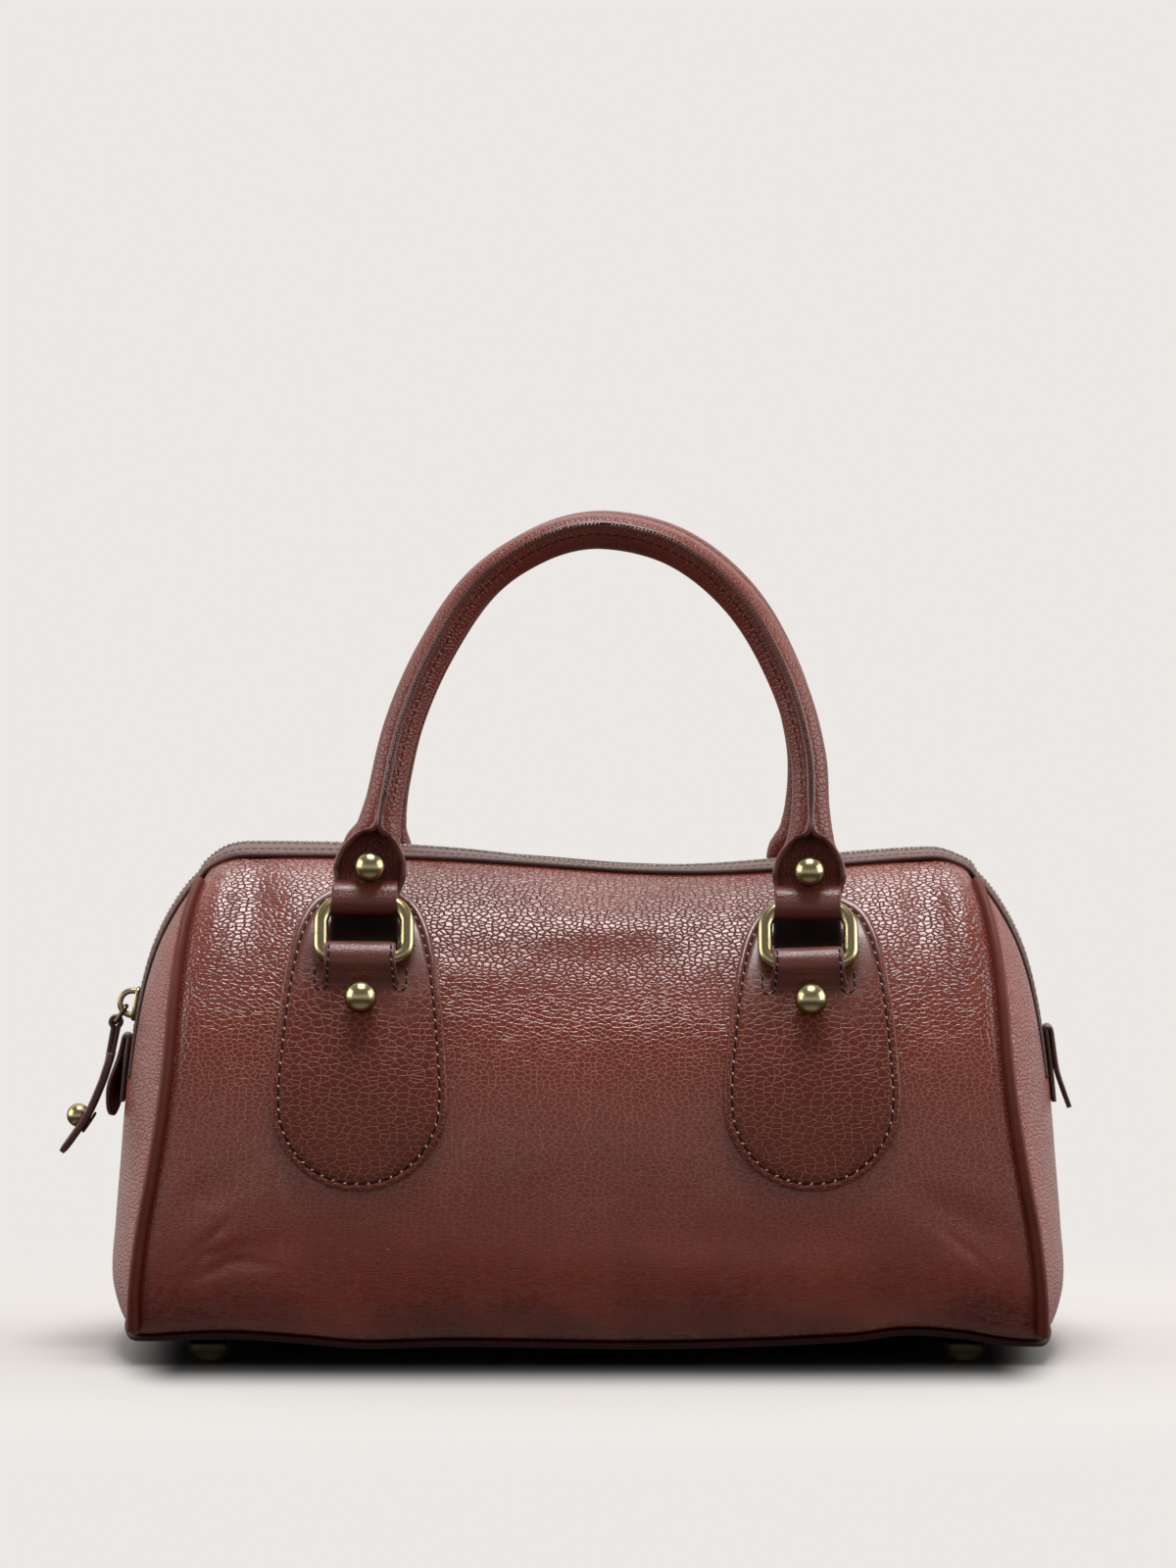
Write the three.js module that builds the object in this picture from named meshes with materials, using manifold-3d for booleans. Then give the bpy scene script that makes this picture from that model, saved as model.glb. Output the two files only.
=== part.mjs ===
import * as THREE from 'three';
import { mergeVertices } from 'three/addons/utils/BufferGeometryUtils.js';
import Module from 'manifold-3d';

// A soft leather satchel with two rolled handles on brass rings and a zip over its top, in millimetres.
// The front faces -Y, +X runs along the zip and the feet stand on Z = 0. A side is -1 or +1 along its axis.

// Leather, seams and clearances
const GAP = 0.3;
const WALL = 2;
const PATCH_WALL = 2.2;
const FACING_WALL = 1.8;
const PIPING_RADIUS = 1.6;
const PIPING_SIDES = 6;
const SEAM_INSET = PIPING_RADIUS + GAP;

// Level sections of the body: the side seam's and the end's distance from the middle, the depth from the
// middle to the front at the seam, and how much fuller the front is at its middle
const SECTIONS = [
  { height: 8, seamHalf: 155, endHalf: 160, halfDepth: 64, crown: 1 },
  { height: 24, seamHalf: 154.6, endHalf: 164.6, halfDepth: 67.5, crown: 3 },
  { height: 44, seamHalf: 152.3, endHalf: 163.6, halfDepth: 69, crown: 4 },
  { height: 64, seamHalf: 148.7, endHalf: 162, halfDepth: 69, crown: 5 },
  { height: 84, seamHalf: 145.4, endHalf: 160.4, halfDepth: 67, crown: 5.5 },
  { height: 104, seamHalf: 143, endHalf: 158.2, halfDepth: 62.5, crown: 5.5 },
  { height: 124, seamHalf: 141.5, endHalf: 154.8, halfDepth: 55, crown: 5 },
  { height: 140, seamHalf: 139.6, endHalf: 150.2, halfDepth: 45.5, crown: 3.5 },
  { height: 152, seamHalf: 137.2, endHalf: 144.2, halfDepth: 35.5, crown: 2 },
  { height: 160, seamHalf: 134.6, endHalf: 138.6, halfDepth: 26.5, crown: 1 },
  { height: 166, seamHalf: 131.5, endHalf: 133, halfDepth: 18, crown: 0 },
];
const [BASE, TOP] = [SECTIONS[0], SECTIONS.at(-1)];

// Height of the base seam along the bag: drawn up over the feet, hanging between them
const BASE_WAVE = [
  { x: -155, height: 10.6 },
  { x: -122, height: 12.4 },
  { x: -97, height: 8.8 },
  { x: -77, height: 6.5 },
  { x: -45, height: 7.2 },
  { x: 26, height: 6.4 },
  { x: 88, height: 8.7 },
  { x: 108, height: 11 },
  { x: 127, height: 9.8 },
  { x: 140, height: 7.6 },
  { x: 155, height: 6.4 },
];
const BASE_BLEND = 50;

// The zip strip: level between rounded shoulders, sagging in the middle, and arched across its width
const CREST_LEVEL = 171.3;
const SHOULDER_FROM = 117;
const SAG_FROM = 100;
const SAGS = [
  { side: -1, depth: 6, at: 35, reach: 66 },
  { side: 1, depth: 5.2, at: 5, reach: 45 },
];
const ARCH = { rise: 2.5, tilt: 0.006, hollow: 2.2, reach: 45, cornerRise: 1.3 };
const STRIP_HALF = TOP.halfDepth;
const CHAIN_HALF = 3.2;
const TEETH_HALF = 1.9;
const CHAIN_RAISE = 0.6;
const ZIP_FOOT = 95.6;

// Soft hollows beside the upper corners and below the sagging middle of the front and back
const DENTS = [
  { x: -115, height: 152, reachX: 9, reachZ: 14, depth: 2.6 },
  { x: 116, height: 152, reachX: 9, reachZ: 14, depth: 2.6 },
  { x: 12, height: 142, reachX: 38, reachZ: 18, depth: 1.6 },
];

// Grid lines shared by neighbouring pieces, so that their edges follow each other along the seams
const HALF_COLUMNS = [14, 40, 63, 84, 101, 113, 121, 127, TOP.seamHalf];
const COLUMNS = [...HALF_COLUMNS.toReversed().map((x) => -x), ...HALF_COLUMNS];
const SHARES = COLUMNS.map((x) => x / TOP.seamHalf);
const BASE_ROWS = [-1, -1 / 3, 1 / 3, 1];
const LEVELS = [8, 25, 48, 72, 95, 110, 124, 136, 146, 154, 160, 164, 166];
const NOTCH_LEVEL = 95;
const FLANK_TOP = 160;

// Brass rings, one over each patch, leaning back with the front of the bag
const RINGS = [
  { side: 'left', x: -76.2, patchX: -77.2, lean: 0.013 },
  { side: 'right', x: 74.8, patchX: 75.9, lean: 0 },
];
const RING = { width: 29.3, height: 20.5, corner: 5.5, wire: 2.5, sides: 6 };
const RING_TILT = THREE.MathUtils.degToRad(25);
const RING_LEVEL = 133;
const RING_OFFSET = PATCH_WALL + 3 * GAP + RING.wire;

// Teardrop patch that carries a ring: half its width at each level
const PATCH_OUTLINE = [
  { height: 60.2, half: 4 },
  { height: 62, half: 10.6 },
  { height: 66, half: 18 },
  { height: 73, half: 24.7 },
  { height: 82, half: 28.9 },
  { height: 92, half: 30 },
  { height: 108, half: 28.9 },
  { height: 123, half: 27.2 },
  { height: 135, half: 25 },
  { height: 145, half: 21.8 },
  { height: 151.5, half: 17 },
  { height: 155.5, half: 9.5 },
];
const PATCH_COLUMNS = 5;
const PATCH_RIM = 0.8;
const PATCH_MIDDLE = 110;
const TONGUE = { wall: 1.9, foot: -9, bevel: -6.3, back: 4.2, topHalf: 12, footHalf: 13.4 };
const TONGUE_ARC = THREE.MathUtils.degToRad(160);
const PATCH_STUD_LEVEL = 122.5;

// Rolled handle: its middle line seen from the front. Near each ring the roll opens at its front into a
// hollow tab, and the tab's end is a flat loop round the ring's upper bar
const HANDLE_LINE = [
  { x: -74.2, height: 168 },
  { x: -69.8, height: 189.5 },
  { x: -63.7, height: 216 },
  { x: -52.7, height: 241.3 },
  { x: -37, height: 264 },
  { x: -15.5, height: 278.3 },
  { x: 5, height: 282.4 },
  { x: 30.6, height: 276 },
  { x: 52.5, height: 258 },
  { x: 67.7, height: 232 },
  { x: 75, height: 207 },
  { x: 75.9, height: 186 },
  { x: 75.4, height: 168 },
];
const HANDLE_LEAN = 0.19;
const HANDLE_RADIUS = 6.2;
const HANDLE_RIDGE = 1.5;
const HANDLE_STEPS = 14;
const HANDLE_SWAYS = [
  { side: -1, sway: 0 },
  { side: 1, sway: 1.6 },
];
const HANDLE_ENDS = [
  { along: 0, halfWidth: 11.2, halfThick: 1.2, square: 1, hollow: 0 },
  { along: 1.2, halfWidth: 11.3, halfThick: 3.2, square: 1, hollow: 0 },
  { along: 4.7, halfWidth: 11.3, halfThick: 4.7, square: 1, hollow: 0 },
  { along: 8, halfWidth: 11.3, halfThick: 3.8, square: 1, hollow: 0 },
  { along: 12, halfWidth: 11.7, halfThick: 3.2, square: 0.9, hollow: 2 },
  { along: 17, halfWidth: 12.4, halfThick: 4.4, square: 0.6, hollow: 4.6 },
  { along: 21, halfWidth: 11.6, halfThick: 5.2, square: 0.4, hollow: 6.6 },
  { along: 26, halfWidth: 9, halfThick: 5.8, square: 0.3, hollow: 7 },
  { along: 31, halfWidth: 6.7, halfThick: 6.2, square: 0, hollow: 0 },
];
const HANDLE_LOOP = HANDLE_ENDS[2].along;
const HANDLE_STUD = { along: 16.5, from: 12, to: 21 };
const HANDLE_SEAM = 90;
const HANDLE_FACE = [62, HANDLE_SEAM, 118];
const HANDLE_ANGLES = [0, 32, ...HANDLE_FACE, 148, 180, 225, 270, 315];
const HANDLE_FLATNESS = 0.62;

// Ball studs and feet: half profiles from the seat outward
const STUD_SIDES = 10;
const STUD_PROFILE = [[3.4, 0], [4.7, 2.2], [4.7, 4.8], [3.4, 7.4], [1.2, 8.7]];
const FOOT_SIDES = 10;
const FOOT_PROFILE = [[3.6, 0], [6, 1.3], [6.8, 4], [5.6, 5.6]];
const FOOT_STEM = 4;
const FEET = [
  { name: 'foot_front_left', x: -129.4, y: -51 },
  { name: 'foot_front_right', x: 128.7, y: -51 },
  { name: 'foot_back_left', x: -129.4, y: 51 },
  { name: 'foot_back_right', x: 128.7, y: 51 },
];

// Zip slider with its bridge, the wire link in it and the leather puller, all on the left end
const SLIDER = { level: 118, length: 12, width: 8.4, noseWidth: 6.7, thick: 2, corner: 2.4 };
const SLIDER_SEAT = CHAIN_RAISE + GAP;
const BRIDGE = { length: 9.3, top: 6.8, wire: 1.5, width: 3 };
const LINK = { wire: 0.6, half: 4, inner: { along: -1.6, out: 3.95 }, outer: { along: -7.4, out: 6.4 } };
const EYE = [
  { above: 2.1, thick: 1.4 },
  { above: 1.66, thick: 1.4 },
  { above: 0.7, thick: 1.92 },
  { above: 0, thick: 2.1 },
  { above: -0.9, thick: 1.82 },
];
const PULLER_LINE = [
  { x: -164.3, height: 106, half: 2.7, thick: 1.4 },
  { x: -165.2, height: 101, half: 5, thick: 1.4 },
  { x: -168.6, height: 90.6, half: 5.5, thick: 1.4 },
  { x: -173.5, height: 79.7, half: 5.5, thick: 1.4 },
  { x: -179.2, height: 71.2, half: 5.2, thick: 1.4 },
  { x: -182.2, height: 67.2, half: 3, thick: 1.2 },
];
const PULLER_STUD = { x: -174.6, height: 77.9 };

// Folded leather tabs over the zip's two ends: the sewn layer, the fold, and the loose layer's bow
const TAB = { half: 7, thick: 0.75, seat: 1.75, foot: 84.5, foldRadius: 1 };
const TABS = [
  { side: -1, name: 'zip_end_tab_left', fold: 107, bow: 4.3, tip: 80, tipOut: 4.3 },
  { side: 1, name: 'zip_end_tab_right', fold: 110, bow: 4.1, tip: 81.5, tipOut: 6 },
];
const TAB_BOWS = [0.4, 0.75];
const TAB_TIP_HALF = 2.2;

// The puller reaches further than the right tab, so the bag is set over to centre the whole in X
const LEFT_REACH = 183.5;
const RIGHT_REACH = 167;
const SET_OVER = (LEFT_REACH - RIGHT_REACH) / 2;

const LEATHER = { color: 0x6d3a30, roughness: 0.55, metalness: 0 };
const DARK_LEATHER = { color: 0x4a251c, roughness: 0.6, metalness: 0 };
const BRASS = { color: 0x9c865a, roughness: 0.35, metalness: 1 };
const ZIP_METAL = { color: 0x8f8064, roughness: 0.4, metalness: 0.8 };

const wasm = await Module();
wasm.setup();

const satchel = new THREE.Group();
satchel.position.x = SET_OVER;

function add(name, geometry, finish) {
  const mesh = new THREE.Mesh(geometry, new THREE.MeshStandardMaterial(finish));
  mesh.name = name;
  satchel.add(mesh);
  return mesh;
}

const bell = (x, at, reach) => Math.exp(-(((x - at) / reach) ** 2));

function smooth(t) {
  const c = THREE.MathUtils.clamp(t, 0, 1);
  return c * c * (3 - 2 * c);
}

// Smooth reading of a table's column between its rows
function lookUp(rows, key, column, at) {
  const value = THREE.MathUtils.clamp(at, rows[0][key], rows.at(-1)[key]);
  let i = 0;
  while (i < rows.length - 2 && rows[i + 1][key] < value) i += 1;
  const slope = (n) => {
    const before = rows[Math.max(0, n - 1)];
    const after = rows[Math.min(rows.length - 1, n + 1)];
    return (after[column] - before[column]) / (after[key] - before[key]);
  };
  const span = rows[i + 1][key] - rows[i][key];
  const t = (value - rows[i][key]) / span;
  const u = 1 - t;
  const ends = u * u * (1 + 2 * t) * rows[i][column] + t * t * (3 - 2 * t) * rows[i + 1][column];
  return ends + span * t * u * (u * slope(i) - t * slope(i + 1));
}

const sectionAt = (height, column) => lookUp(SECTIONS, 'height', column, height);
const baseHeight = (x) => lookUp(BASE_WAVE, 'x', 'height', x);

// Height of the seam between the zip strip and the front (side -1) or back (side 1)
function topHeight(side, x) {
  const sag = SAGS.find((row) => row.side === side);
  const fade = 1 - (x / TOP.seamHalf) ** 8;
  const round = Math.max(0, (Math.abs(x) - SHOULDER_FROM) / (TOP.seamHalf - SHOULDER_FROM));
  const shoulder = (CREST_LEVEL - TOP.height) * round ** 2;
  return CREST_LEVEL - sag.depth * bell(x, sag.at, sag.reach) * fade - shoulder;
}

// How far the base wave and the sagging top move a point that is s of the way from the middle to the seam
function lift(side, s, height) {
  const low = 1 - smooth((height - BASE.height) / BASE_BLEND);
  const high = smooth((height - SAG_FROM) / (TOP.height - SAG_FROM));
  const fromBase = baseHeight(s * BASE.seamHalf) - BASE.height;
  return low * fromBase + high * (topHeight(side, s * TOP.seamHalf) - TOP.height);
}

// Outer surface of the front or back, at a share s of the way to the side seam
function panelPoint(side, s, height) {
  const x = s * sectionAt(height, 'seamHalf');
  const dents = DENTS.map((d) => d.depth * bell(x, d.x, d.reachX) * bell(height, d.height, d.reachZ));
  const dent = dents.reduce((sum, depth) => sum + depth, 0);
  const depth = sectionAt(height, 'halfDepth') + sectionAt(height, 'crown') * (1 - s * s) - dent;
  return new THREE.Vector3(x, side * depth, height + lift(side, s, height));
}

// Outer surface of an end, at a distance y from the middle of the bag
function endPoint(side, y, height) {
  const [seamHalf, endHalf] = [sectionAt(height, 'seamHalf'), sectionAt(height, 'endHalf')];
  const share = y / sectionAt(height, 'halfDepth');
  const reach = endHalf - (endHalf - seamHalf) * share * share;
  return new THREE.Vector3(side * reach, y, height + lift(-1, side, height));
}

// Outward normal of a surface given by a function of two parameters
function normalOf(surface, a, b, stepA, stepB, outward) {
  const alongA = surface(a + stepA, b).sub(surface(a - stepA, b));
  const alongB = surface(a, b + stepB).sub(surface(a, b - stepB));
  const normal = alongA.cross(alongB).normalize();
  return normal.dot(outward) < 0 ? normal.negate() : normal;
}

const panelNormal = (side, s, height) =>
  normalOf((a, b) => panelPoint(side, a, b), s, height, 0.02, 1, new THREE.Vector3(0, side, 0.3));
const endNormal = (side, y, height) =>
  normalOf((a, b) => endPoint(side, a, b), y, height, 1, 1, new THREE.Vector3(side, 0, 0.3));

// A closed body from points and triangles, turned so that its faces point out
function solid(points, faces) {
  const volumes = faces.map(([a, b, c]) => points[a].dot(points[b].clone().cross(points[c])));
  const volume = volumes.reduce((sum, part) => sum + part, 0);
  const corners = faces.flatMap(([a, b, c]) => (volume > 0 ? [a, b, c] : [a, c, b]));
  return mergeVertices(new THREE.BufferGeometry().setFromPoints(corners.map((n) => points[n])));
}

const quad = (a, b, c, d) => [[a, b, c], [a, c, d]];

// A wall over a grid of points: outer skin, inner skin, and a rim along every edge of the kept cells
function wall(outer, inner, kept = () => true) {
  const [columns, rows] = [outer.length - 1, outer[0].length - 1];
  const at = (i, j, skin) => (skin * outer.length + i) * (rows + 1) + j;
  const filled = (i, j) => i >= 0 && j >= 0 && i < columns && j < rows && kept(i, j);
  const faces = [];
  const rim = (i, j, k, l) => faces.push(...quad(at(k, l, 0), at(i, j, 0), at(i, j, 1), at(k, l, 1)));
  for (let i = 0; i < columns; i += 1) {
    for (let j = 0; j < rows; j += 1) {
      if (!filled(i, j)) continue;
      faces.push(...quad(at(i, j, 0), at(i + 1, j, 0), at(i + 1, j + 1, 0), at(i, j + 1, 0)));
      faces.push(...quad(at(i, j, 1), at(i, j + 1, 1), at(i + 1, j + 1, 1), at(i + 1, j, 1)));
      if (!filled(i, j - 1)) rim(i, j, i + 1, j);
      if (!filled(i + 1, j)) rim(i + 1, j, i + 1, j + 1);
      if (!filled(i, j + 1)) rim(i + 1, j + 1, i, j + 1);
      if (!filled(i - 1, j)) rim(i, j + 1, i, j);
    }
  }
  return solid([...outer.flat(), ...inner.flat()], faces);
}

// A body through a row of sections with the same number of points, closed on itself or capped
function loft(sections, closed = false) {
  const sides = sections[0].length;
  const faces = [];
  const spans = closed ? sections.length : sections.length - 1;
  for (let r = 0; r < spans; r += 1) {
    const [here, next] = [r * sides, ((r + 1) % sections.length) * sides];
    for (let k = 0; k < sides; k += 1) {
      const turn = (k + 1) % sides;
      faces.push(...quad(here + k, here + turn, next + turn, next + k));
    }
  }
  const last = (sections.length - 1) * sides;
  for (let k = 1; k < sides - 1 && !closed; k += 1) {
    faces.push([0, k + 1, k], [last, last + k, last + k + 1]);
  }
  return solid(sections.flat(), faces);
}

const circle = (radius, sides) => Array.from({ length: sides }, (_, k) => {
  const angle = (2 * Math.PI * k) / sides;
  return new THREE.Vector2(radius * Math.cos(angle), radius * Math.sin(angle));
});

// A round cord through points, its section carried along without twist
function cord(points, radius, sides, closed = false) {
  const count = points.length;
  const normal = new THREE.Vector3();
  const sections = points.map((point, n) => {
    const before = points[closed ? (n + count - 1) % count : Math.max(0, n - 1)];
    const after = points[closed ? (n + 1) % count : Math.min(count - 1, n + 1)];
    const tangent = after.clone().sub(before).normalize();
    if (n === 0) normal.set(tangent.y, tangent.z, tangent.x).cross(tangent);
    normal.addScaledVector(tangent, -normal.dot(tangent)).normalize();
    const across = tangent.clone().cross(normal);
    return circle(radius, sides).map((p) =>
      point.clone().addScaledVector(normal, p.x).addScaledVector(across, p.y));
  });
  return loft(sections, closed);
}

function toManifold(geometry) {
  const mesh = new wasm.Mesh({
    numProp: 3,
    vertProperties: geometry.attributes.position.array,
    triVerts: Uint32Array.from(geometry.index.array),
  });
  return new wasm.Manifold(mesh);
}

function fromManifold(body) {
  const mesh = body.getMesh();
  const geometry = new THREE.BufferGeometry();
  geometry.setAttribute('position', new THREE.BufferAttribute(mesh.vertProperties, 3));
  geometry.setIndex(new THREE.BufferAttribute(mesh.triVerts, 1));
  return geometry;
}

// An extruded outline whose points are moved by a function
function bent(shape, options, move) {
  const flat = new THREE.ExtrudeGeometry(shape, { bevelEnabled: false, ...options });
  const positions = flat.attributes.position;
  const [points, faces] = [[], []];
  for (let n = 0; n < positions.count; n += 1) {
    points.push(move(new THREE.Vector3().fromBufferAttribute(positions, n)));
    if (n % 3 === 2) faces.push([n - 2, n - 1, n]);
  }
  return solid(points, faces);
}

// Front and back panels, kept clear of the piping at each seam
function panel(side) {
  const bottom = BASE.height + SEAM_INSET;
  const crown = TOP.height - SEAM_INSET * Math.SQRT1_2;
  const levels = [bottom, ...LEVELS.slice(1, -1).filter((level) => level < crown - 1), crown];
  const clear = (s, level) => s * (1 - SEAM_INSET / sectionAt(level, 'seamHalf'));
  const outer = SHARES.map((s) => levels.map((level) => panelPoint(side, clear(s, level), level)));
  const inner = SHARES.map((s) => levels.map((level) => {
    const normal = panelNormal(side, clear(s, level), level);
    return panelPoint(side, clear(s, level), level).addScaledVector(normal, -WALL);
  }));
  return wall(outer, inner);
}

// An end panel with a notch from above for the zip strip
function endPanel(side) {
  const levels = [BASE.height + SEAM_INSET, ...LEVELS.slice(1).filter((level) => level <= FLANK_TOP)];
  const notchHalf = STRIP_HALF + SEAM_INSET;
  const flank = [1, 2 / 3, 1 / 3, 0];
  const across = (level) => {
    const slope = (sectionAt(level + 1, 'halfDepth') - sectionAt(level - 1, 'halfDepth')) / 2;
    const width = sectionAt(level, 'halfDepth') - SEAM_INSET * Math.hypot(1, slope) - notchHalf;
    const half = flank.map((share) => notchHalf + share * width);
    return [...half.map((y) => -y), -notchHalf / 3, notchHalf / 3, ...half.toReversed()];
  };
  const grid = (depth) => across(BASE.height).map((_, i) => levels.map((level) => {
    const y = across(level)[i];
    return endPoint(side, y, level).addScaledVector(endNormal(side, y, level), -depth);
  }));
  const inNotch = (i, j) => i >= flank.length - 1 && i <= flank.length + 1 && levels[j] >= NOTCH_LEVEL;
  return wall(grid(0), grid(WALL), (i, j) => !inNotch(i, j));
}

// Outline of the base, s and w running from -1 to 1 along and across it
function basePoint(s, w, inset, drop) {
  const x = s * (BASE.seamHalf - inset + (BASE.endHalf - BASE.seamHalf) * (1 - w * w));
  const y = w * (BASE.halfDepth - inset + BASE.crown * (1 - s * s));
  return new THREE.Vector3(x, y, baseHeight(x) - drop);
}

function basePanel() {
  const skin = (drop) => SHARES.map((s) => BASE_ROWS.map((w) => basePoint(s, w, SEAM_INSET, drop)));
  return wall(skin(-WALL / 2), skin(WALL / 2));
}

function basePiping() {
  const rim = [
    ...SHARES.slice(0, -1).map((s) => [s, -1]),
    ...BASE_ROWS.slice(0, -1).map((w) => [1, w]),
    ...SHARES.slice(1).toReversed().map((s) => [s, 1]),
    ...BASE_ROWS.slice(1).toReversed().map((w) => [-1, w]),
  ];
  const round = circle(PIPING_RADIUS, PIPING_SIDES);
  return loft(rim.map(([s, w]) => round.map((p) => basePoint(s, w, p.x, p.y))), true);
}

// Side seam piping between a front or back panel and an end
function sidePiping(end, side) {
  const clear = 2 * PIPING_RADIUS + GAP;
  const levels = [BASE.height + clear, ...LEVELS.slice(1).filter((level) => level < TOP.height - clear)];
  return cord(levels.map((level) => panelPoint(side, end, level)), PIPING_RADIUS, PIPING_SIDES);
}

// Stations of the zip strip from its left end over the top to its right end, each a point for a given y
function zipStations() {
  const levels = [ZIP_FOOT, ...LEVELS.filter((level) => level > NOTCH_LEVEL && level < TOP.height)];
  const arch = (x) => ARCH.rise - ARCH.tilt * x - ARCH.hollow * bell(x, 0, ARCH.reach);
  const share = (y) => 1 - (y / STRIP_HALF) ** 2;
  const onEnd = (side, level) => (y) => endPoint(side, y, level);
  const onCorner = (side) => (y) => {
    const out = ARCH.cornerRise * share(y);
    return new THREE.Vector3(side * (TOP.seamHalf + out), y, TOP.height + out);
  };
  const onTop = (x) => (y) => {
    const toBack = (y + STRIP_HALF) / (2 * STRIP_HALF);
    const seam = THREE.MathUtils.lerp(topHeight(-1, x), topHeight(1, x), toBack);
    return new THREE.Vector3(x, y, seam + arch(x) * share(y));
  };
  const stations = [
    ...levels.map((level) => onEnd(-1, level)),
    onCorner(-1),
    ...COLUMNS.slice(1, -1).map(onTop),
    onCorner(1),
    ...levels.toReversed().map((level) => onEnd(1, level)),
  ];
  return stations.map((at, n) => {
    const before = stations[Math.max(0, n - 1)](0);
    const after = stations[Math.min(stations.length - 1, n + 1)](0);
    const tangent = after.sub(before).normalize();
    return { at, normal: new THREE.Vector3(-tangent.z, 0, tangent.x) };
  });
}

const ZIP_STATIONS = zipStations();

// A strip along the zip whose section is a list of distances across and raises above the surface
function zipStrip(section) {
  return loft(ZIP_STATIONS.map(({ at, normal }) =>
    section.map(({ y, raise }) => at(y).addScaledVector(normal, raise))));
}

function zipFacing(side) {
  const edges = [STRIP_HALF - SEAM_INSET, CHAIN_HALF + GAP].map((y) => side * y);
  const outer = edges.map((y) => ({ y, raise: 0 }));
  const inner = edges.toReversed().map((y) => ({ y, raise: -FACING_WALL }));
  return zipStrip([...outer, ...inner]);
}

function zipChain() {
  return zipStrip([
    { y: -CHAIN_HALF, raise: -FACING_WALL },
    { y: -CHAIN_HALF, raise: 0 },
    { y: -TEETH_HALF, raise: CHAIN_RAISE },
    { y: TEETH_HALF, raise: CHAIN_RAISE },
    { y: CHAIN_HALF, raise: 0 },
    { y: CHAIN_HALF, raise: -FACING_WALL },
  ]);
}

const zipPiping = (side) =>
  cord(ZIP_STATIONS.map(({ at }) => at(side * STRIP_HALF)), PIPING_RADIUS, PIPING_SIDES);

// A point above the front or back at a level, x across the bag
function onPanel(side, x, height, above) {
  const s = x / sectionAt(height, 'seamHalf');
  return panelPoint(side, s, height).addScaledVector(panelNormal(side, s, height), above);
}

// Middles of a ring's lower and upper bars, and its frame
function ringFrame(side, ring) {
  const low = onPanel(side, ring.x, RING_LEVEL, RING_OFFSET);
  low.x = ring.x;
  const up = new THREE.Vector3(0, -side * Math.sin(RING_TILT), Math.cos(RING_TILT));
  return { low, up, high: low.clone().addScaledVector(up, RING.height) };
}

// A ring of round wire bent to a rectangle with round corners, in its own frame with +Y up
function ringWire(radius) {
  const [halfWidth, halfHeight] = [RING.width / 2 - RING.corner, RING.height / 2 - RING.corner];
  const quarter = [0, 1, 2, 3].map((n) => (n * Math.PI) / 6);
  const corners = [[1, 1], [-1, 1], [-1, -1], [1, -1]];
  const path = corners.flatMap(([sx, sy], turn) => quarter.map((angle) => {
    const direction = angle + (turn * Math.PI) / 2;
    const x = sx * halfWidth + RING.corner * Math.cos(direction);
    return new THREE.Vector3(x, sy * halfHeight + RING.corner * Math.sin(direction), 0);
  }));
  return cord(path, radius, RING.sides, true);
}

function placeRing(object, side, ring) {
  const { low, high } = ringFrame(side, ring);
  object.position.copy(low).lerp(high, 0.5);
  object.rotation.x = Math.PI / 2 + side * RING_TILT;
  object.updateMatrix();
}

// The room that a ring needs in the leather around it
function ringRoom(side, ring) {
  const place = new THREE.Object3D();
  placeRing(place, side, ring);
  return toManifold(ringWire(RING.wire + GAP).applyMatrix4(place.matrix));
}

// Teardrop plate on the panel
function patchPlate(side, ring) {
  const shares = Array.from({ length: PATCH_COLUMNS + 1 }, (_, n) => (2 * n) / PATCH_COLUMNS - 1);
  const skin = (above, rim) => shares.map((share) => PATCH_OUTLINE.map(({ height, half }) => {
    const middle = ring.patchX + ring.lean * (height - PATCH_MIDDLE);
    return onPanel(side, middle + share * (half - rim), height, above);
  }));
  return wall(skin(GAP + PATCH_WALL, PATCH_RIM), skin(GAP, 0));
}

// Tongue of leather from the plate over the ring's lower bar and down behind it
function patchTongue(side, ring) {
  const outer = RING.wire + GAP + TONGUE.wall;
  const face = GAP + PATCH_WALL;
  const profile = new THREE.Shape();
  profile.moveTo(TONGUE.foot, face - 2 * GAP);
  profile.lineTo(TONGUE.bevel, face + TONGUE.wall);
  profile.absarc(0, RING_OFFSET, outer, TONGUE_ARC, 0, true);
  profile.lineTo(TONGUE.back, face - GAP);
  const slope = ringFrame(side, ring).up.z;
  return bent(profile, { depth: 2, curveSegments: 5 }, ({ x: along, y: above, z: across }) => {
    const down = smooth(along / TONGUE.foot);
    const half = THREE.MathUtils.lerp(TONGUE.topHalf, TONGUE.footHalf, down);
    return onPanel(side, ring.x + (across - 1) * half, RING_LEVEL + along * slope, above);
  });
}

function patch(side, ring) {
  const body = toManifold(patchPlate(side, ring)).add(toManifold(patchTongue(side, ring)));
  return fromManifold(body.subtract(ringRoom(side, ring)));
}

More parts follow.
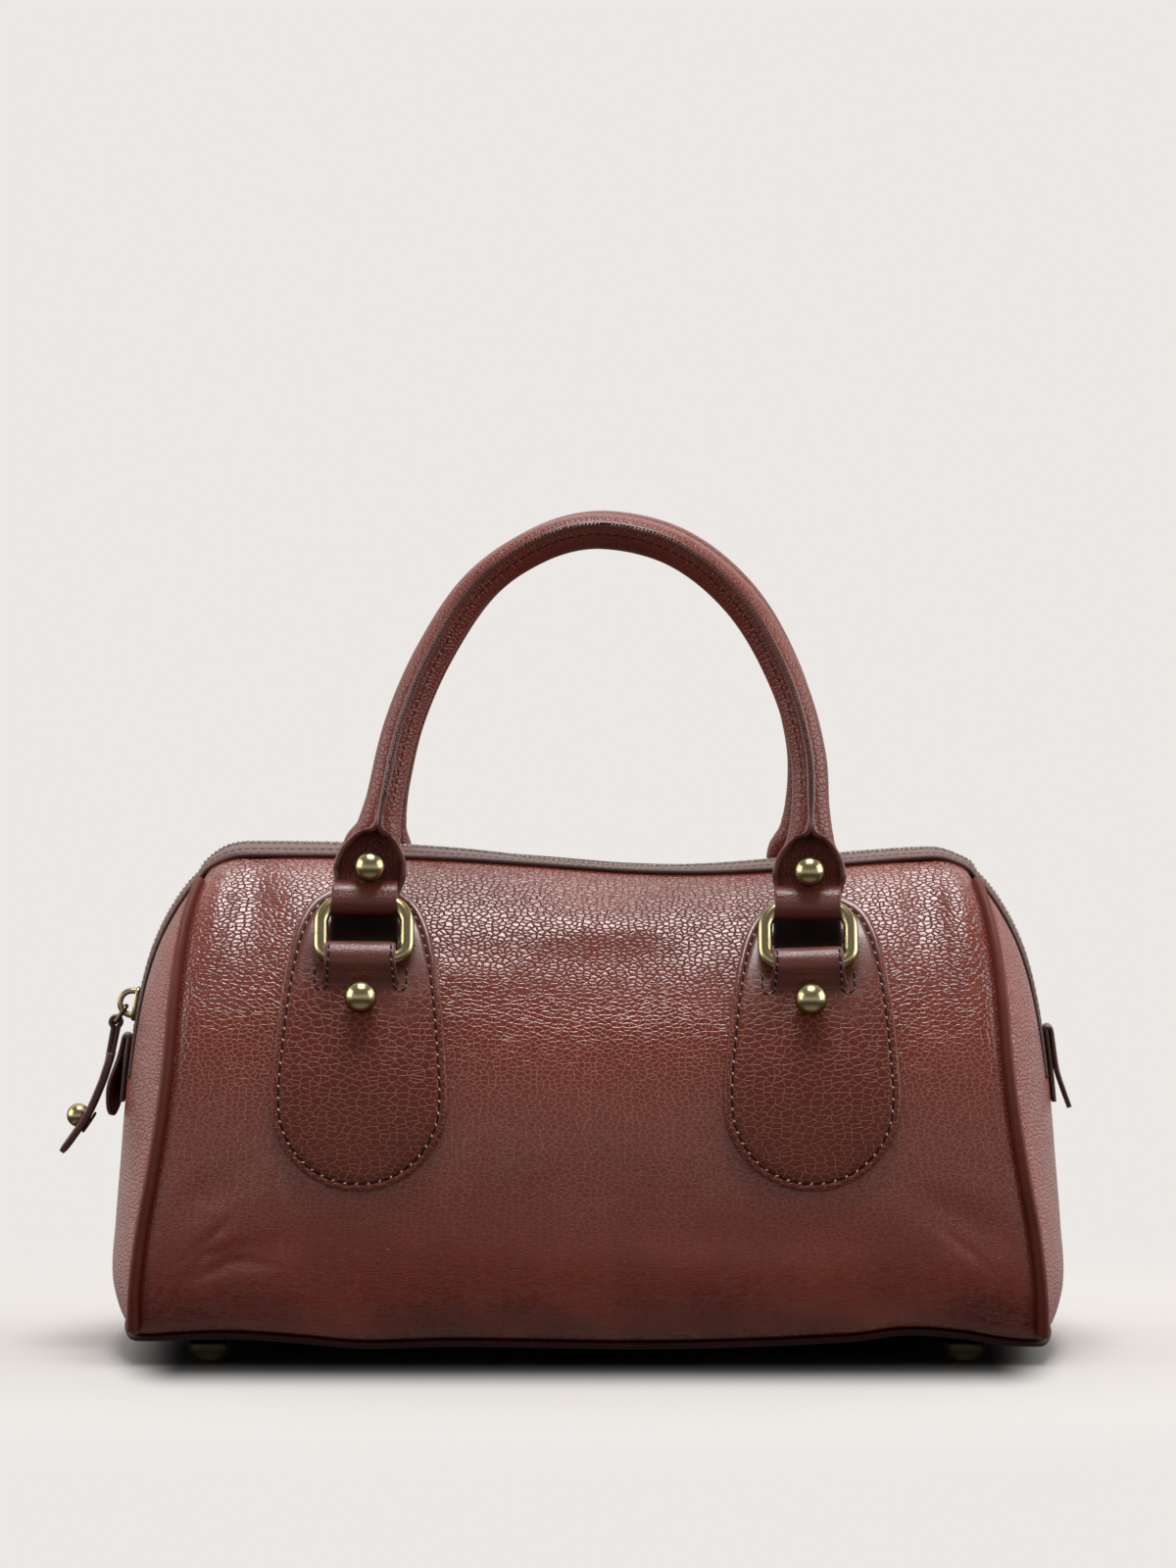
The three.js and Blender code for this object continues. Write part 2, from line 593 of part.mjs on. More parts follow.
// Middle line of a handle from ring to ring, its ends at the bottoms of the loops
function handleCurve(side, sway) {
  const bars = RINGS.map((ring) => ringFrame(side, ring).high);
  const level = bars[0].z;
  const crest = Math.max(...HANDLE_LINE.map((row) => row.height));
  const rise = (height) => (height - level) * HANDLE_LEAN;
  const points = HANDLE_LINE.map(({ x, height }) => {
    const shift = sway * smooth((height - level) / (crest - level));
    return new THREE.Vector3(x + shift, bars[0].y - side * rise(height), height);
  });
  const sunk = side * rise(level + HANDLE_LOOP);
  const ends = bars.map((bar) => new THREE.Vector3(bar.x, bar.y + sunk, level - HANDLE_LOOP));
  return new THREE.CatmullRomCurve3([ends[0], bars[0], ...points, bars[1], ends[1]], false, 'centripetal');
}

// Direction out of the plane that a handle lies in
const handleFront = (side) => new THREE.Vector3(0, side, HANDLE_LEAN).normalize();

// Section of a handle: a round roll with a seam ridge in front, or near its ends a flattened tab whose
// face is hollowed
function handleSection(centre, tangent, front, shape) {
  const across = front.clone().cross(tangent).normalize();
  const power = 1 - HANDLE_FLATNESS * shape.square;
  const flat = (value) => Math.sign(value) * Math.abs(value) ** power;
  const outAt = (degrees, share) => {
    const ridge = degrees === HANDLE_SEAM ? HANDLE_RIDGE : 0;
    if (shape.square === 0) return shape.halfThick * share + ridge;
    return HANDLE_FACE.includes(degrees) ? shape.halfThick - shape.hollow : shape.halfThick * flat(share);
  };
  return HANDLE_ANGLES.map((degrees) => {
    const angle = THREE.MathUtils.degToRad(degrees);
    return centre.clone()
      .addScaledVector(across, shape.halfWidth * flat(Math.cos(angle)))
      .addScaledVector(front, outAt(degrees, Math.sin(angle)));
  });
}

function handle(side, sway) {
  const curve = handleCurve(side, sway);
  const length = curve.getLength();
  const rolled = { halfWidth: HANDLE_RADIUS, halfThick: HANDLE_RADIUS, square: 0, hollow: 0 };
  const from = HANDLE_ENDS.at(-1).along + HANDLE_RADIUS;
  const middle = Array.from({ length: HANDLE_STEPS + 1 }, (_, n) => {
    const along = THREE.MathUtils.lerp(from, length - from, n / HANDLE_STEPS);
    return { ...rolled, along };
  });
  const mirrored = HANDLE_ENDS.toReversed().map((row) => ({ ...row, along: length - row.along }));
  const sections = [...HANDLE_ENDS, ...middle, ...mirrored].map((row) => {
    const u = row.along / length;
    return handleSection(curve.getPointAt(u), curve.getTangentAt(u), handleFront(side), row);
  });
  const rooms = RINGS.map((ring) => ringRoom(side, ring));
  return fromManifold(rooms.reduce((body, room) => body.subtract(room), toManifold(loft(sections))));
}

// Where a stud sits on the sloping face of the tab at a handle's end
function handleFace(side, curve, ringX) {
  const faceAt = (along) => {
    const share = along / curve.getLength();
    const endAt = (column) => lookUp(HANDLE_ENDS, 'along', column, along);
    const centre = curve.getPointAt(ringX < 0 ? share : 1 - share);
    return centre.addScaledVector(handleFront(side), endAt('halfThick') - endAt('hollow'));
  };
  const slope = faceAt(HANDLE_STUD.to).sub(faceAt(HANDLE_STUD.from)).normalize();
  const front = handleFront(side);
  const normal = front.addScaledVector(slope, -front.dot(slope)).normalize();
  return { seat: faceAt(HANDLE_STUD.along).addScaledVector(normal, 2 * GAP), normal };
}

// A turned piece standing on a point, its axis along a direction
function turned(name, profile, sides, seat, direction, finish) {
  const sections = profile.map(([radius, along]) =>
    circle(radius, sides).map((p) => new THREE.Vector3(p.x, along, p.y)));
  const mesh = add(name, loft(sections), finish);
  mesh.position.copy(seat);
  mesh.quaternion.setFromUnitVectors(new THREE.Vector3(0, 1, 0), direction);
}

// Frame of the zip on the left end, at the slider: along it upward, and out of it
function sliderPoint(along, out, y) {
  const seat = endPoint(-1, 0, SLIDER.level);
  const normal = endNormal(-1, 0, SLIDER.level);
  const up = new THREE.Vector3(0, 1, 0).cross(normal);
  return seat.addScaledVector(up, along).addScaledVector(normal, out).setY(y);
}

function zipSlider() {
  const [halfLength, halfWidth] = [SLIDER.length / 2, SLIDER.width / 2];
  const outline = new THREE.Shape();
  outline.moveTo(-halfLength, -halfWidth + SLIDER.corner);
  outline.lineTo(-halfLength, halfWidth - SLIDER.corner);
  outline.lineTo(-halfLength + SLIDER.corner, halfWidth);
  outline.lineTo(halfLength, SLIDER.noseWidth / 2);
  outline.lineTo(halfLength, -SLIDER.noseWidth / 2);
  outline.lineTo(-halfLength + SLIDER.corner, -halfWidth);
  const body = bent(outline, { depth: SLIDER.thick }, (p) => sliderPoint(p.x, SLIDER_SEAT + p.z, p.y));
  const deck = SLIDER_SEAT + SLIDER.thick;
  const [halfSpan, height] = [BRIDGE.length / 2, BRIDGE.top - deck];
  const arch = new THREE.Shape();
  arch.moveTo(halfSpan, -GAP);
  arch.absellipse(0, 0, halfSpan, height, 0, Math.PI, false);
  arch.lineTo(-halfSpan, -GAP);
  arch.lineTo(-halfSpan + BRIDGE.wire, -GAP);
  arch.absellipse(0, 0, halfSpan - BRIDGE.wire, height - BRIDGE.wire, Math.PI, 0, true);
  arch.lineTo(halfSpan - BRIDGE.wire, -GAP);
  const options = { depth: BRIDGE.width, curveSegments: 8 };
  const bridge = bent(arch, options, (p) => sliderPoint(p.x, deck + p.y, p.z - BRIDGE.width / 2));
  return fromManifold(toManifold(body).add(toManifold(bridge)));
}

// Wire link through the bridge and the puller's eye, a rectangle with cut corners
function pullerLink() {
  const cut = 2 * LINK.wire;
  const reach = Math.hypot(LINK.outer.along - LINK.inner.along, LINK.outer.out - LINK.inner.out);
  const at = (share, y) => sliderPoint(
    THREE.MathUtils.lerp(LINK.inner.along, LINK.outer.along, share),
    THREE.MathUtils.lerp(LINK.inner.out, LINK.outer.out, share),
    y,
  );
  const half = LINK.half;
  const path = [
    [0, half - cut], [cut / reach, half], [1 - cut / reach, half], [1, half - cut],
    [1, cut - half], [1 - cut / reach, -half], [cut / reach, -half], [0, cut - half],
  ];
  return cord(path.map(([share, y]) => at(share, y)), LINK.wire, 6, true);
}

// A leather strip along a line in the XZ plane, each section with half its width and half its thickness
function strap(rows) {
  return loft(rows.map((row, n) => {
    const before = rows[Math.max(0, n - 1)].point;
    const after = rows[Math.min(rows.length - 1, n + 1)].point;
    const tangent = after.clone().sub(before).normalize();
    const normal = new THREE.Vector3(-tangent.z, 0, tangent.x);
    return [[1, 1], [-1, 1], [-1, -1], [1, -1]].map(([sy, sn]) =>
      row.point.clone().addScaledVector(normal, sn * row.thick).setY(sy * row.half));
  }));
}

// Puller strap with an eye round the link's outer bar
function zipPuller() {
  const eye = sliderPoint(LINK.outer.along, LINK.outer.out, 0);
  const half = PULLER_LINE[0].half;
  const around = EYE.map(({ above, thick }) => ({ point: eye.clone().setZ(eye.z + above), half, thick }));
  const rest = PULLER_LINE.map((row) => ({ ...row, point: new THREE.Vector3(row.x, 0, row.height) }));
  const bar = [-half - 1, half + 1].map((y) => eye.clone().setY(y));
  const room = toManifold(cord(bar, LINK.wire + GAP, 8));
  return fromManifold(toManifold(strap([...around, ...rest])).subtract(room));
}

// Folded tab over an end of the zip: sewn layer up, round the fold and down the loose layer
function endTab({ side, fold, bow, tip, tipOut }) {
  const place = (height, out) => endPoint(side, 0, height).addScaledVector(endNormal(side, 0, height), out);
  const turn = [0, 1, 2, 3, 4].map((n) => (n * Math.PI) / 4);
  const folded = turn.map((angle) => ({
    height: fold - TAB.foldRadius * (1 - Math.sin(angle)),
    out: TAB.seat + TAB.foldRadius * (1 - Math.cos(angle)),
  }));
  const sewn = [TAB.foot, NOTCH_LEVEL].map((height) => ({ height, out: TAB.seat }));
  const loose = TAB_BOWS.map((share) => ({ height: THREE.MathUtils.lerp(fold, tip, share), out: bow }));
  const rows = [...sewn, ...folded, ...loose].map((row) => ({ ...row, half: TAB.half }));
  rows.push({ height: tip, out: tipOut, half: TAB_TIP_HALF });
  const { thick } = TAB;
  return strap(rows.map(({ height, out, half }) => ({ point: place(height, out), half, thick })));
}

for (const [name, side] of [['front', -1], ['back', 1]]) {
  add(`${name}_panel`, panel(side), LEATHER);
  add(`zip_facing_${name}`, zipFacing(side), LEATHER);
  add(`zip_piping_${name}`, zipPiping(side), DARK_LEATHER);
  add(`side_piping_${name}_left`, sidePiping(-1, side), LEATHER);
  add(`side_piping_${name}_right`, sidePiping(1, side), LEATHER);
}
add('left_end_panel', endPanel(-1), LEATHER);
add('right_end_panel', endPanel(1), LEATHER);
add('base_panel', basePanel(), DARK_LEATHER);
add('base_piping', basePiping(), DARK_LEATHER);
add('zip_chain', zipChain(), ZIP_METAL);

for (const [name, side] of [['front', -1], ['back', 1]]) {
  const { sway } = HANDLE_SWAYS.find((row) => row.side === side);
  add(`handle_${name}`, handle(side, sway), LEATHER);
  const curve = handleCurve(side, sway);
  for (const ring of RINGS) {
    const corner = `${name}_${ring.side}`;
    placeRing(add(`ring_${corner}`, ringWire(RING.wire), BRASS), side, ring);
    add(`patch_${corner}`, patch(side, ring), LEATHER);

    const tab = handleFace(side, curve, ring.x);
    turned(`handle_stud_${corner}`, STUD_PROFILE, STUD_SIDES, tab.seat, tab.normal, BRASS);

    const studX = (ring.x + ring.patchX) / 2;
    const normal = panelNormal(side, studX / sectionAt(PATCH_STUD_LEVEL, 'seamHalf'), PATCH_STUD_LEVEL);
    const seat = onPanel(side, studX, PATCH_STUD_LEVEL, PATCH_WALL + 3 * GAP);
    turned(`patch_stud_${corner}`, STUD_PROFILE, STUD_SIDES, seat, normal, BRASS);
  }
}

for (const { name, x, y } of FEET) {
  const above = [-FOOT_STEM, 0, FOOT_STEM].map((step) => baseHeight(x + step) - WALL / 2);
  const profile = [...FOOT_PROFILE, [FOOT_STEM, Math.min(...above) - GAP]];
  turned(name, profile, FOOT_SIDES, new THREE.Vector3(x, y, 0), new THREE.Vector3(0, 0, 1), BRASS);
}

add('zip_slider', zipSlider(), BRASS);
add('puller_link', pullerLink(), BRASS);
add('zip_puller', zipPuller(), LEATHER);
const [aboveStud, belowStud] = PULLER_LINE.slice(3, 5);
const strapFall = aboveStud.height - belowStud.height;
const strapOut = new THREE.Vector3(-strapFall, 0, aboveStud.x - belowStud.x).normalize();
const strapSeat = new THREE.Vector3(PULLER_STUD.x, 0, PULLER_STUD.height);
strapSeat.addScaledVector(strapOut, aboveStud.thick + 2 * GAP);
turned('puller_stud', STUD_PROFILE, STUD_SIDES, strapSeat, strapOut, BRASS);
for (const tab of TABS) {
  add(tab.name, endTab(tab), LEATHER);
}

export default satchel;
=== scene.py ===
import bpy
import numpy as np
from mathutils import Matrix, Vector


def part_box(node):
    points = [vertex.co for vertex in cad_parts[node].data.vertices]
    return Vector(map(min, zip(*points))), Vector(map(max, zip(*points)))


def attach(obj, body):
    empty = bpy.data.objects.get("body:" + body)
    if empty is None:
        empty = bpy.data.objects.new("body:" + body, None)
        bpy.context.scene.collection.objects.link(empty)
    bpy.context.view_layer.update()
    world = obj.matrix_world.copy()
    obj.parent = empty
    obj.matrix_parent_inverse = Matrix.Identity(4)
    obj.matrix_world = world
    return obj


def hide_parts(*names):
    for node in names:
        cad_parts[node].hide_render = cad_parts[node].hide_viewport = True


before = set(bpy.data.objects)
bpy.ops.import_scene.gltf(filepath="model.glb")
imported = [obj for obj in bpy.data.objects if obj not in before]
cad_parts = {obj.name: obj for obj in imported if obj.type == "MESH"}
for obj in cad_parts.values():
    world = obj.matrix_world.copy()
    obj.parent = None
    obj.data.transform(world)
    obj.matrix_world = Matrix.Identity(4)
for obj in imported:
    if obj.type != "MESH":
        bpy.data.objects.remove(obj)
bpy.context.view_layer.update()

# Base panel
# The sole of the bag: one piece of smooth dark leather that hangs between the feet and is drawn up over
# them. It is sewn to the front, the back and the two ends all round.
MM = 0.001
FRONT_LOW, FRONT_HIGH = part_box("front_panel")
BAG_MIDDLE = np.array([(FRONT_LOW.x + FRONT_HIGH.x) / 2 / MM, 0, 0])
WALL = 2.0
PIPING_RADIUS = 1.6
SEAM_INSET = 1.9
BAG_CORE = np.array([0, 0, 80.0])

# Level sections of the body: height, side seam and end from the middle, half depth at the seam, crown
SECTIONS = np.array([
    (8, 155, 160, 64, 1),
    (24, 154.6, 164.6, 67.5, 3),
    (44, 152.3, 163.6, 69, 4),
    (64, 148.7, 162, 69, 5),
    (84, 145.4, 160.4, 67, 5.5),
    (104, 143, 158.2, 62.5, 5.5),
    (124, 141.5, 154.8, 55, 5),
    (140, 139.6, 150.2, 45.5, 3.5),
    (152, 137.2, 144.2, 35.5, 2),
    (160, 134.6, 138.6, 26.5, 1),
    (166, 131.5, 133, 18, 0),
])
SEAM_HALF, END_HALF, HALF_DEPTH, CROWN = 1, 2, 3, 4
BASE_LEVEL, BASE_SEAM, BASE_END, BASE_DEPTH, BASE_CROWN = SECTIONS[0]
TOP_LEVEL, TOP_SEAM, _, STRIP_HALF, _ = SECTIONS[-1]

# Height of the base seam along the bag: x, height
BASE_WAVE = np.array([
    (-155, 8.4), (-122, 9.7), (-97, 8.2), (-77, 6.5), (-45, 7.2), (26, 6.4),
    (88, 8.7), (108, 11), (127, 9.8), (140, 7.6), (155, 6.4),
])
CORNER_CUT, CORNER_POWER = 3.0, 18
CHOCOLATE = (0.030, 0.0085, 0.0065)


def read(table, at, column=1):
    """Smooth reading of a table by its first column: cubic pieces whose slopes come from the rows on either
    side."""
    keys, values = table[:, 0], table[:, column]
    row = np.arange(len(keys))
    before, after = np.maximum(row - 1, 0), np.minimum(row + 1, len(keys) - 1)
    slopes = (values[after] - values[before]) / (keys[after] - keys[before])
    at = np.clip(at, keys[0], keys[-1])
    i = np.clip(np.searchsorted(keys, at) - 1, 0, len(keys) - 2)
    span = keys[i + 1] - keys[i]
    t = (at - keys[i]) / span
    ends = (1 - t) ** 2 * (1 + 2 * t) * values[i] + t * t * (3 - 2 * t) * values[i + 1]
    return ends + span * t * (1 - t) * ((1 - t) * slopes[i] - t * slopes[i + 1])


def run_lengths(points, axis):
    """Mean distance from the first line of a grid to each of its lines, and once round to the first again."""
    steps = np.linalg.norm(np.roll(points, -1, axis) - points, axis=2).mean(1 - axis)
    return np.concatenate([[0], np.cumsum(steps)])


def piece(name, points, finishes, replaces=(), wrap=(False, False), caps=False, flat=None, keep=None,
          inside=None, wall=0.0):
    """A grid of points in millimetres as a piece of the bag: quads between neighbouring points, joined up
    where a direction wraps, with the first and last rows of a tube capped. flat is each point's place on the
    uncut leather, or else the lengths along the grid's lines. keep marks the quads of a cut sheet, and inside
    is what an open sheet faces away from."""
    rows, columns = points.shape[:2]
    r, c = np.meshgrid(np.arange(rows - 1 + wrap[0]), np.arange(columns - 1 + wrap[1]), indexing="ij")
    r = (r[..., None] + np.array([0, 0, 1, 1])).reshape(-1, 4)
    c = (c[..., None] + np.array([0, 1, 1, 0])).reshape(-1, 4)
    if keep is not None:
        r, c = r[keep.ravel()], c[keep.ravel()]
    faces = r % rows * columns + c % columns
    if flat is None:
        places = np.stack([run_lengths(points, 1)[c], run_lengths(points, 0)[r]], -1)
    else:
        places = flat[r % rows, c % columns]
    vertices = points.reshape(-1, 3)
    corners = vertices[faces]
    if inside is None:
        core = vertices.mean(0)
    else:
        core = np.broadcast_to(inside, points.shape).reshape(-1, 3)[faces].mean(1)
    facing = np.cross(corners[:, 2] - corners[:, 0], corners[:, 3] - corners[:, 1])
    outward = np.sum(facing * (corners.mean(1) - core)) > 0
    around = np.arange(columns)
    ends = np.stack([around[::-1], around + (rows - 1) * columns]) if caps else np.zeros((0, 1), int)
    turn = slice(None) if outward else slice(None, None, -1)
    loops = np.concatenate([faces[:, turn].ravel(), ends[:, turn].ravel()])
    sizes = np.concatenate([np.full(len(faces), 4), np.full(len(ends), ends.shape[1])])
    places = np.concatenate([places[:, turn].reshape(-1, 2), np.zeros((ends.size, 2))])
    return mesh_piece(name, vertices, loops, sizes, places, finishes, replaces, wall)


def mesh_piece(name, vertices, loops, sizes, places, finishes, replaces, wall):
    """Points, face corners and places on the leather as a smooth mesh that rides with the bag."""
    used, loops = np.unique(loops, return_inverse=True)
    mesh = bpy.data.meshes.new(name)
    mesh.vertices.add(len(used))
    mesh.vertices.foreach_set("co", ((vertices[used] + BAG_MIDDLE) * MM).astype(np.float32).ravel())
    mesh.loops.add(len(loops))
    mesh.loops.foreach_set("vertex_index", loops.astype(np.int32).ravel())
    mesh.polygons.add(len(sizes))
    mesh.polygons.foreach_set("loop_start", (np.cumsum(sizes) - sizes).astype(np.int32))
    mesh.polygons.foreach_set("use_smooth", np.ones(len(sizes), bool))
    mesh.update(calc_edges=True)
    layer = mesh.uv_layers.new(name="flat")
    layer.data.foreach_set("uv", places.astype(np.float32).ravel())
    made = bpy.data.objects.new(name, mesh)
    bpy.context.scene.collection.objects.link(made)
    for finish_made in finishes:
        mesh.materials.append(finish_made)
    if wall:
        thicken = made.modifiers.new("wall", "SOLIDIFY")
        thicken.thickness = wall * MM
        thicken.offset = -1
        thicken.material_offset = len(finishes) // 2
        thicken.material_offset_rim = len(finishes) - 1
    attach(made, "root")
    if replaces:
        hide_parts(*replaces)
    return made


class Wire:
    """An output of a shader node. Operators add Math nodes, and node() adds a node of any other kind."""

    def __init__(self, tree, socket=None):
        self.tree, self.socket = tree, socket

    def node(self, kind, settings=None, inputs=None, output=0):
        """A node of a type: its settings first, then values or wires for its inputs. Gives one output."""
        made = self.tree.nodes.new("ShaderNode" + kind)
        for key, value in (settings or {}).items():
            setattr(made, key, value)
        for key, value in (inputs or {}).items():
            if isinstance(value, Wire):
                self.tree.links.new(value.socket, made.inputs[key])
            else:
                made.inputs[key].default_value = value
        return Wire(self.tree, made.outputs[output] if made.outputs else None)

    def math(self, operation, *values):
        """A Math node: the operation on the values in their order."""
        return self.node("Math", {"operation": operation}, dict(enumerate(values)))

    def __add__(self, other):
        return self.math("ADD", self, other)

    def __sub__(self, other):
        return self.math("SUBTRACT", self, other)

    def __rsub__(self, other):
        return self.math("SUBTRACT", other, self)

    def __mul__(self, other):
        return self.math("MULTIPLY", self, other)

    def __truediv__(self, other):
        return self.math("DIVIDE", self, other)

    __radd__, __rmul__ = __add__, __mul__

    def step(self, low, high):
        """Smooth step from 0 at low to 1 at high."""
        ends = {"Value": self, "From Min": low, "From Max": high}
        return self.node("MapRange", {"interpolation_type": "SMOOTHSTEP"}, ends)

    def mix(self, first, second):
        """The first colour where this value is 0, the second where it is 1."""
        ends = {0: self, 6: colour_of(first), 7: colour_of(second)}
        return self.node("Mix", {"data_type": "RGBA"}, ends, 2)

    def vector(self, operation, other):
        """A Vector Math node: the operation on this vector and another."""
        return self.node("VectorMath", {"operation": operation}, {0: self, 1: other})

    def noise(self, place, scale, detail=2.0, output=0):
        """Cloudy noise at a place, with as many octaves as its detail."""
        return self.node("TexNoise", None, {"Vector": place, "Scale": scale, "Detail": detail}, output)

    def bump(self, height, depth):
        """Normal of a surface whose height value stands for a depth in millimetres."""
        return self.node("Bump", None, {"Height": height, "Distance": depth * MM, "Strength": 1.0})


def colour_of(value):
    """A wire as it is, or three numbers as an opaque colour."""
    return value if isinstance(value, Wire) else (*value, 1.0)


def dyed(colour, share):
    """A colour times a share, or times one share for each of red, green and blue."""
    return tuple(np.array(colour) * share)


def finish(name, paint):
    """A material from a function that lays out its nodes and gives back the surface shader."""
    material = bpy.data.materials.new(name)
    material.use_nodes = True
    material.node_tree.nodes.clear()
    shade = Wire(material.node_tree)
    shade.node("OutputMaterial", None, {"Surface": paint(shade)})
    return material


# What becomes of the dye's red, green and blue: paled by wax, painted shade in a crease, painted shade below
# the highlight band, painted highlight on a crease's lip, painted fill light low down, painted shade at the
# foot
WAXED, CREASE_PAINTED_SHADE, LOW_PAINTED_SHADE = (1.2, 1.32, 1.25), (0.38, 0.3, 0.3), (0.74, 0.66, 0.62)
CREASE_LIP_HIGHLIGHT, LOW_PAINTED_FILL, FOOT_PAINTED_SHADE = (2.3, 4.9, 5.0), (1.52, 1.6, 1.58), (0.5, 0.2, 0.1)


def leather(name, colour, cell=(2.4, 1.7), depth=0.17, rough=0.32, pebble=1.0, shine=0.5, groove=0.3,
            dark=0.35, fade=None, pressed=None, wear_and_painted_light=None, low_painted_light=None, satin=None):
    """Grained leather: domed pebbles parted by creases, finer creases over them, and wax that pales in
    patches; dark is the share of painted shade in the creases. Heights in millimetres change it up a piece:
    the pebbles rise out of fine pores over fade and are ironed over pressed; below worn the grain is flatter,
    the dye
    is painted darker as shade and the crease lips are painted pale as highlights; soiled gives three heights:
    below the first the foot is painted fully in shade, at the second that shade is gone and painted fill
    light over the lower part is full, and at the third that light ends; and satin adds a share of clear wax."""
    def paint(shade):
        flat = shade.node("UVMap", {"uv_map": "flat"})
        drift = shade.noise(flat, 0.3, 2.0, 1).vector("SUBTRACT", (0.5, 0.5, 0.5))
        warped = flat.vector("ADD", drift.vector("MULTIPLY", (1.5, 1.5, 0)))
        cells = warped.vector("MULTIPLY", (1 / cell[0], 1 / cell[1], 0))
        seams = {"voronoi_dimensions": "2D", "feature": "DISTANCE_TO_EDGE"}
        large = {"Vector": cells, "Scale": 1.0, "Randomness": 0.95}
        edge = shade.node("TexVoronoi", seams, large)
        small = shade.node("TexVoronoi", seams, {"Vector": cells, "Scale": 2.2, "Randomness": 1.0})
        grains = {"voronoi_dimensions": "2D"}
        from_middle = cells.vector("SUBTRACT", shade.node("TexVoronoi", grains, large, "Position"))
        own = shade.node("TexVoronoi", grains, large, "Color").vector("SUBTRACT", (0.5, 0.5, 0.5))
        tilt = shade.node("VectorMath", {"operation": "DOT_PRODUCT"}, {0: from_middle, 1: own}, "Value")
        strand = shade.noise(warped.vector("MULTIPLY", (0.22, 1.0, 0)), 0.9, 3.0) - 0.5
        rest = 1 - shade.math("MINIMUM", edge / groove, 1.0)
        dome = 1 - rest * rest + edge * 0.7 + tilt * 0.9
        fine = small.step(0.0, 0.2)
        wrinkle = shade.math("ABSOLUTE", strand).step(0.0, 0.05)
        broad = shade.noise(flat, 0.024, 3.0)
        pores = shade.noise(flat, 2.1, 2.0)

        def rising(low, high):
            """Smooth step between two heights in millimetres, made uneven by the broad clouds."""
            place = shade.node("TexCoord", None, None, "Object")
            level = shade.node("SeparateXYZ", None, {"Vector": place}, "Z") + (broad - 0.5) * 0.05
            return level.step(low * MM, high * MM)

        amount = rising(*fade) * pebble if fade else (broad - 0.5) * 0.2 + pebble
        if pressed:
            amount = amount * (1 - 0.25 * rising(*pressed))
        deep = rising(*wear_and_painted_light) if wear_and_painted_light else 1.0
        height = dome * amount * (0.5 + 0.4 * deep) + fine * (0.03 + 0.03 * amount)
        height = height + wrinkle * (1.1 - amount) * 0.3 + pores * 0.05
        # How far into a crease or wrinkle: the dye is darkened there as painted shade, and roughened
        crease = rest.step(0.25, 0.95) * amount * deep * dark + (1 - wrinkle) * (1.1 - amount) * 0.22
        waxed = broad.step(0.4, 0.72).mix(colour, dyed(colour, WAXED))
        tone = crease.mix(waxed, dyed(colour, CREASE_PAINTED_SHADE))
        if wear_and_painted_light:
            # Painted shade: the dye darkened below the highlight band, where the pebbles face the dark front
            tone = deep.mix(tone.vector("MULTIPLY", LOW_PAINTED_SHADE), tone)
            # Painted highlight: pale lines on the lips of creases below the highlight band, where they face
            # the overhead light
            painted_lip_highlight = rest.step(0.55, 0.98) * shade.math("SQRT", amount) * (1 - deep) * (0.3 + 0.9 * pores)
            tone = painted_lip_highlight.mix(tone, dyed(colour, CREASE_LIP_HIGHLIGHT))
        if low_painted_light:
            # Painted fill light: the dye paled over the lower part; painted shade: the dye darkened at the
            # foot, which faces the floor
            foot, shade_top, fill_top = low_painted_light
            tone = rising(shade_top, fill_top).mix(tone.vector("MULTIPLY", LOW_PAINTED_FILL), tone)
            tone = rising(foot, shade_top).mix(dyed(colour, FOOT_PAINTED_SHADE), tone)
        return shade.node("BsdfPrincipled", None, {
            "Base Color": tone,
            "Roughness": rough + crease * 0.25 + (broad - 0.5) * 0.1,
            "Specular IOR Level": shine,
            "Coat Weight": rising(*satin[:2]) * satin[2] if satin else 0.0,
            "Coat Roughness": 0.24,
            "Normal": shade.bump(height, depth),
        })
    return finish(name, paint)


def base_height(x):
    """Height of the base seam above the floor at a place along the bag."""
    return read(BASE_WAVE, x)


def base_point(s, w, inset, drop):
    """Outline of the base, s and w from -1 to 1 along and across it: a rectangle whose sides bow out."""
    x = s * (BASE_SEAM - inset + (BASE_END - BASE_SEAM) * (1 - w * w))
    y = w * (BASE_DEPTH - inset + BASE_CROWN * (1 - s * s))
    corner = CORNER_CUT * np.abs(s * w) ** CORNER_POWER
    x, y = x - corner * np.sign(s), y - corner * np.sign(w)
    return np.stack(np.broadcast_arrays(x, y, base_height(x) - drop), -1)


sole_leather = leather("sole_leather", CHOCOLATE, cell=(2.0, 1.6), depth=0.12, rough=0.5, pebble=0.4,
                       shine=0.3)
along, across = np.meshgrid(np.linspace(-1, 1, 150), np.linspace(-1, 1, 60), indexing="ij")
piece("base", base_point(along, across, SEAM_INSET, WALL / 2), [sole_leather], ["base_panel"],
      inside=BAG_CORE, wall=WALL)

# Feet
# Domed feet of antique brass, one near each corner, on stems that are riveted through the base.
# Each has a worn flat where it stands. Their brass is darkened almost to black as painted shade under the
# bag.
FOOT_PLACES = [("front_left", -129.4, -51), ("front_right", 128.7, -51),
               ("back_left", -129.4, 51), ("back_right", 128.7, 51)]
FOOT_RADIUS, FOOT_FLAT, FOOT_WAIST, FOOT_RISE, STEM_RADIUS = 7.0, 2.2, 5.0, 6.4, 4.6
# Angles in degrees between which the dome's section swings, as every swing is given here
FOOT_SWING = (-80, 20)
ANTIQUE_BRASS = (0.42, 0.345, 0.185)
BRASS_RIM = (0.16, 0.13, 0.08, 1.0)
TARNISH = (0.07, 0.048, 0.02)


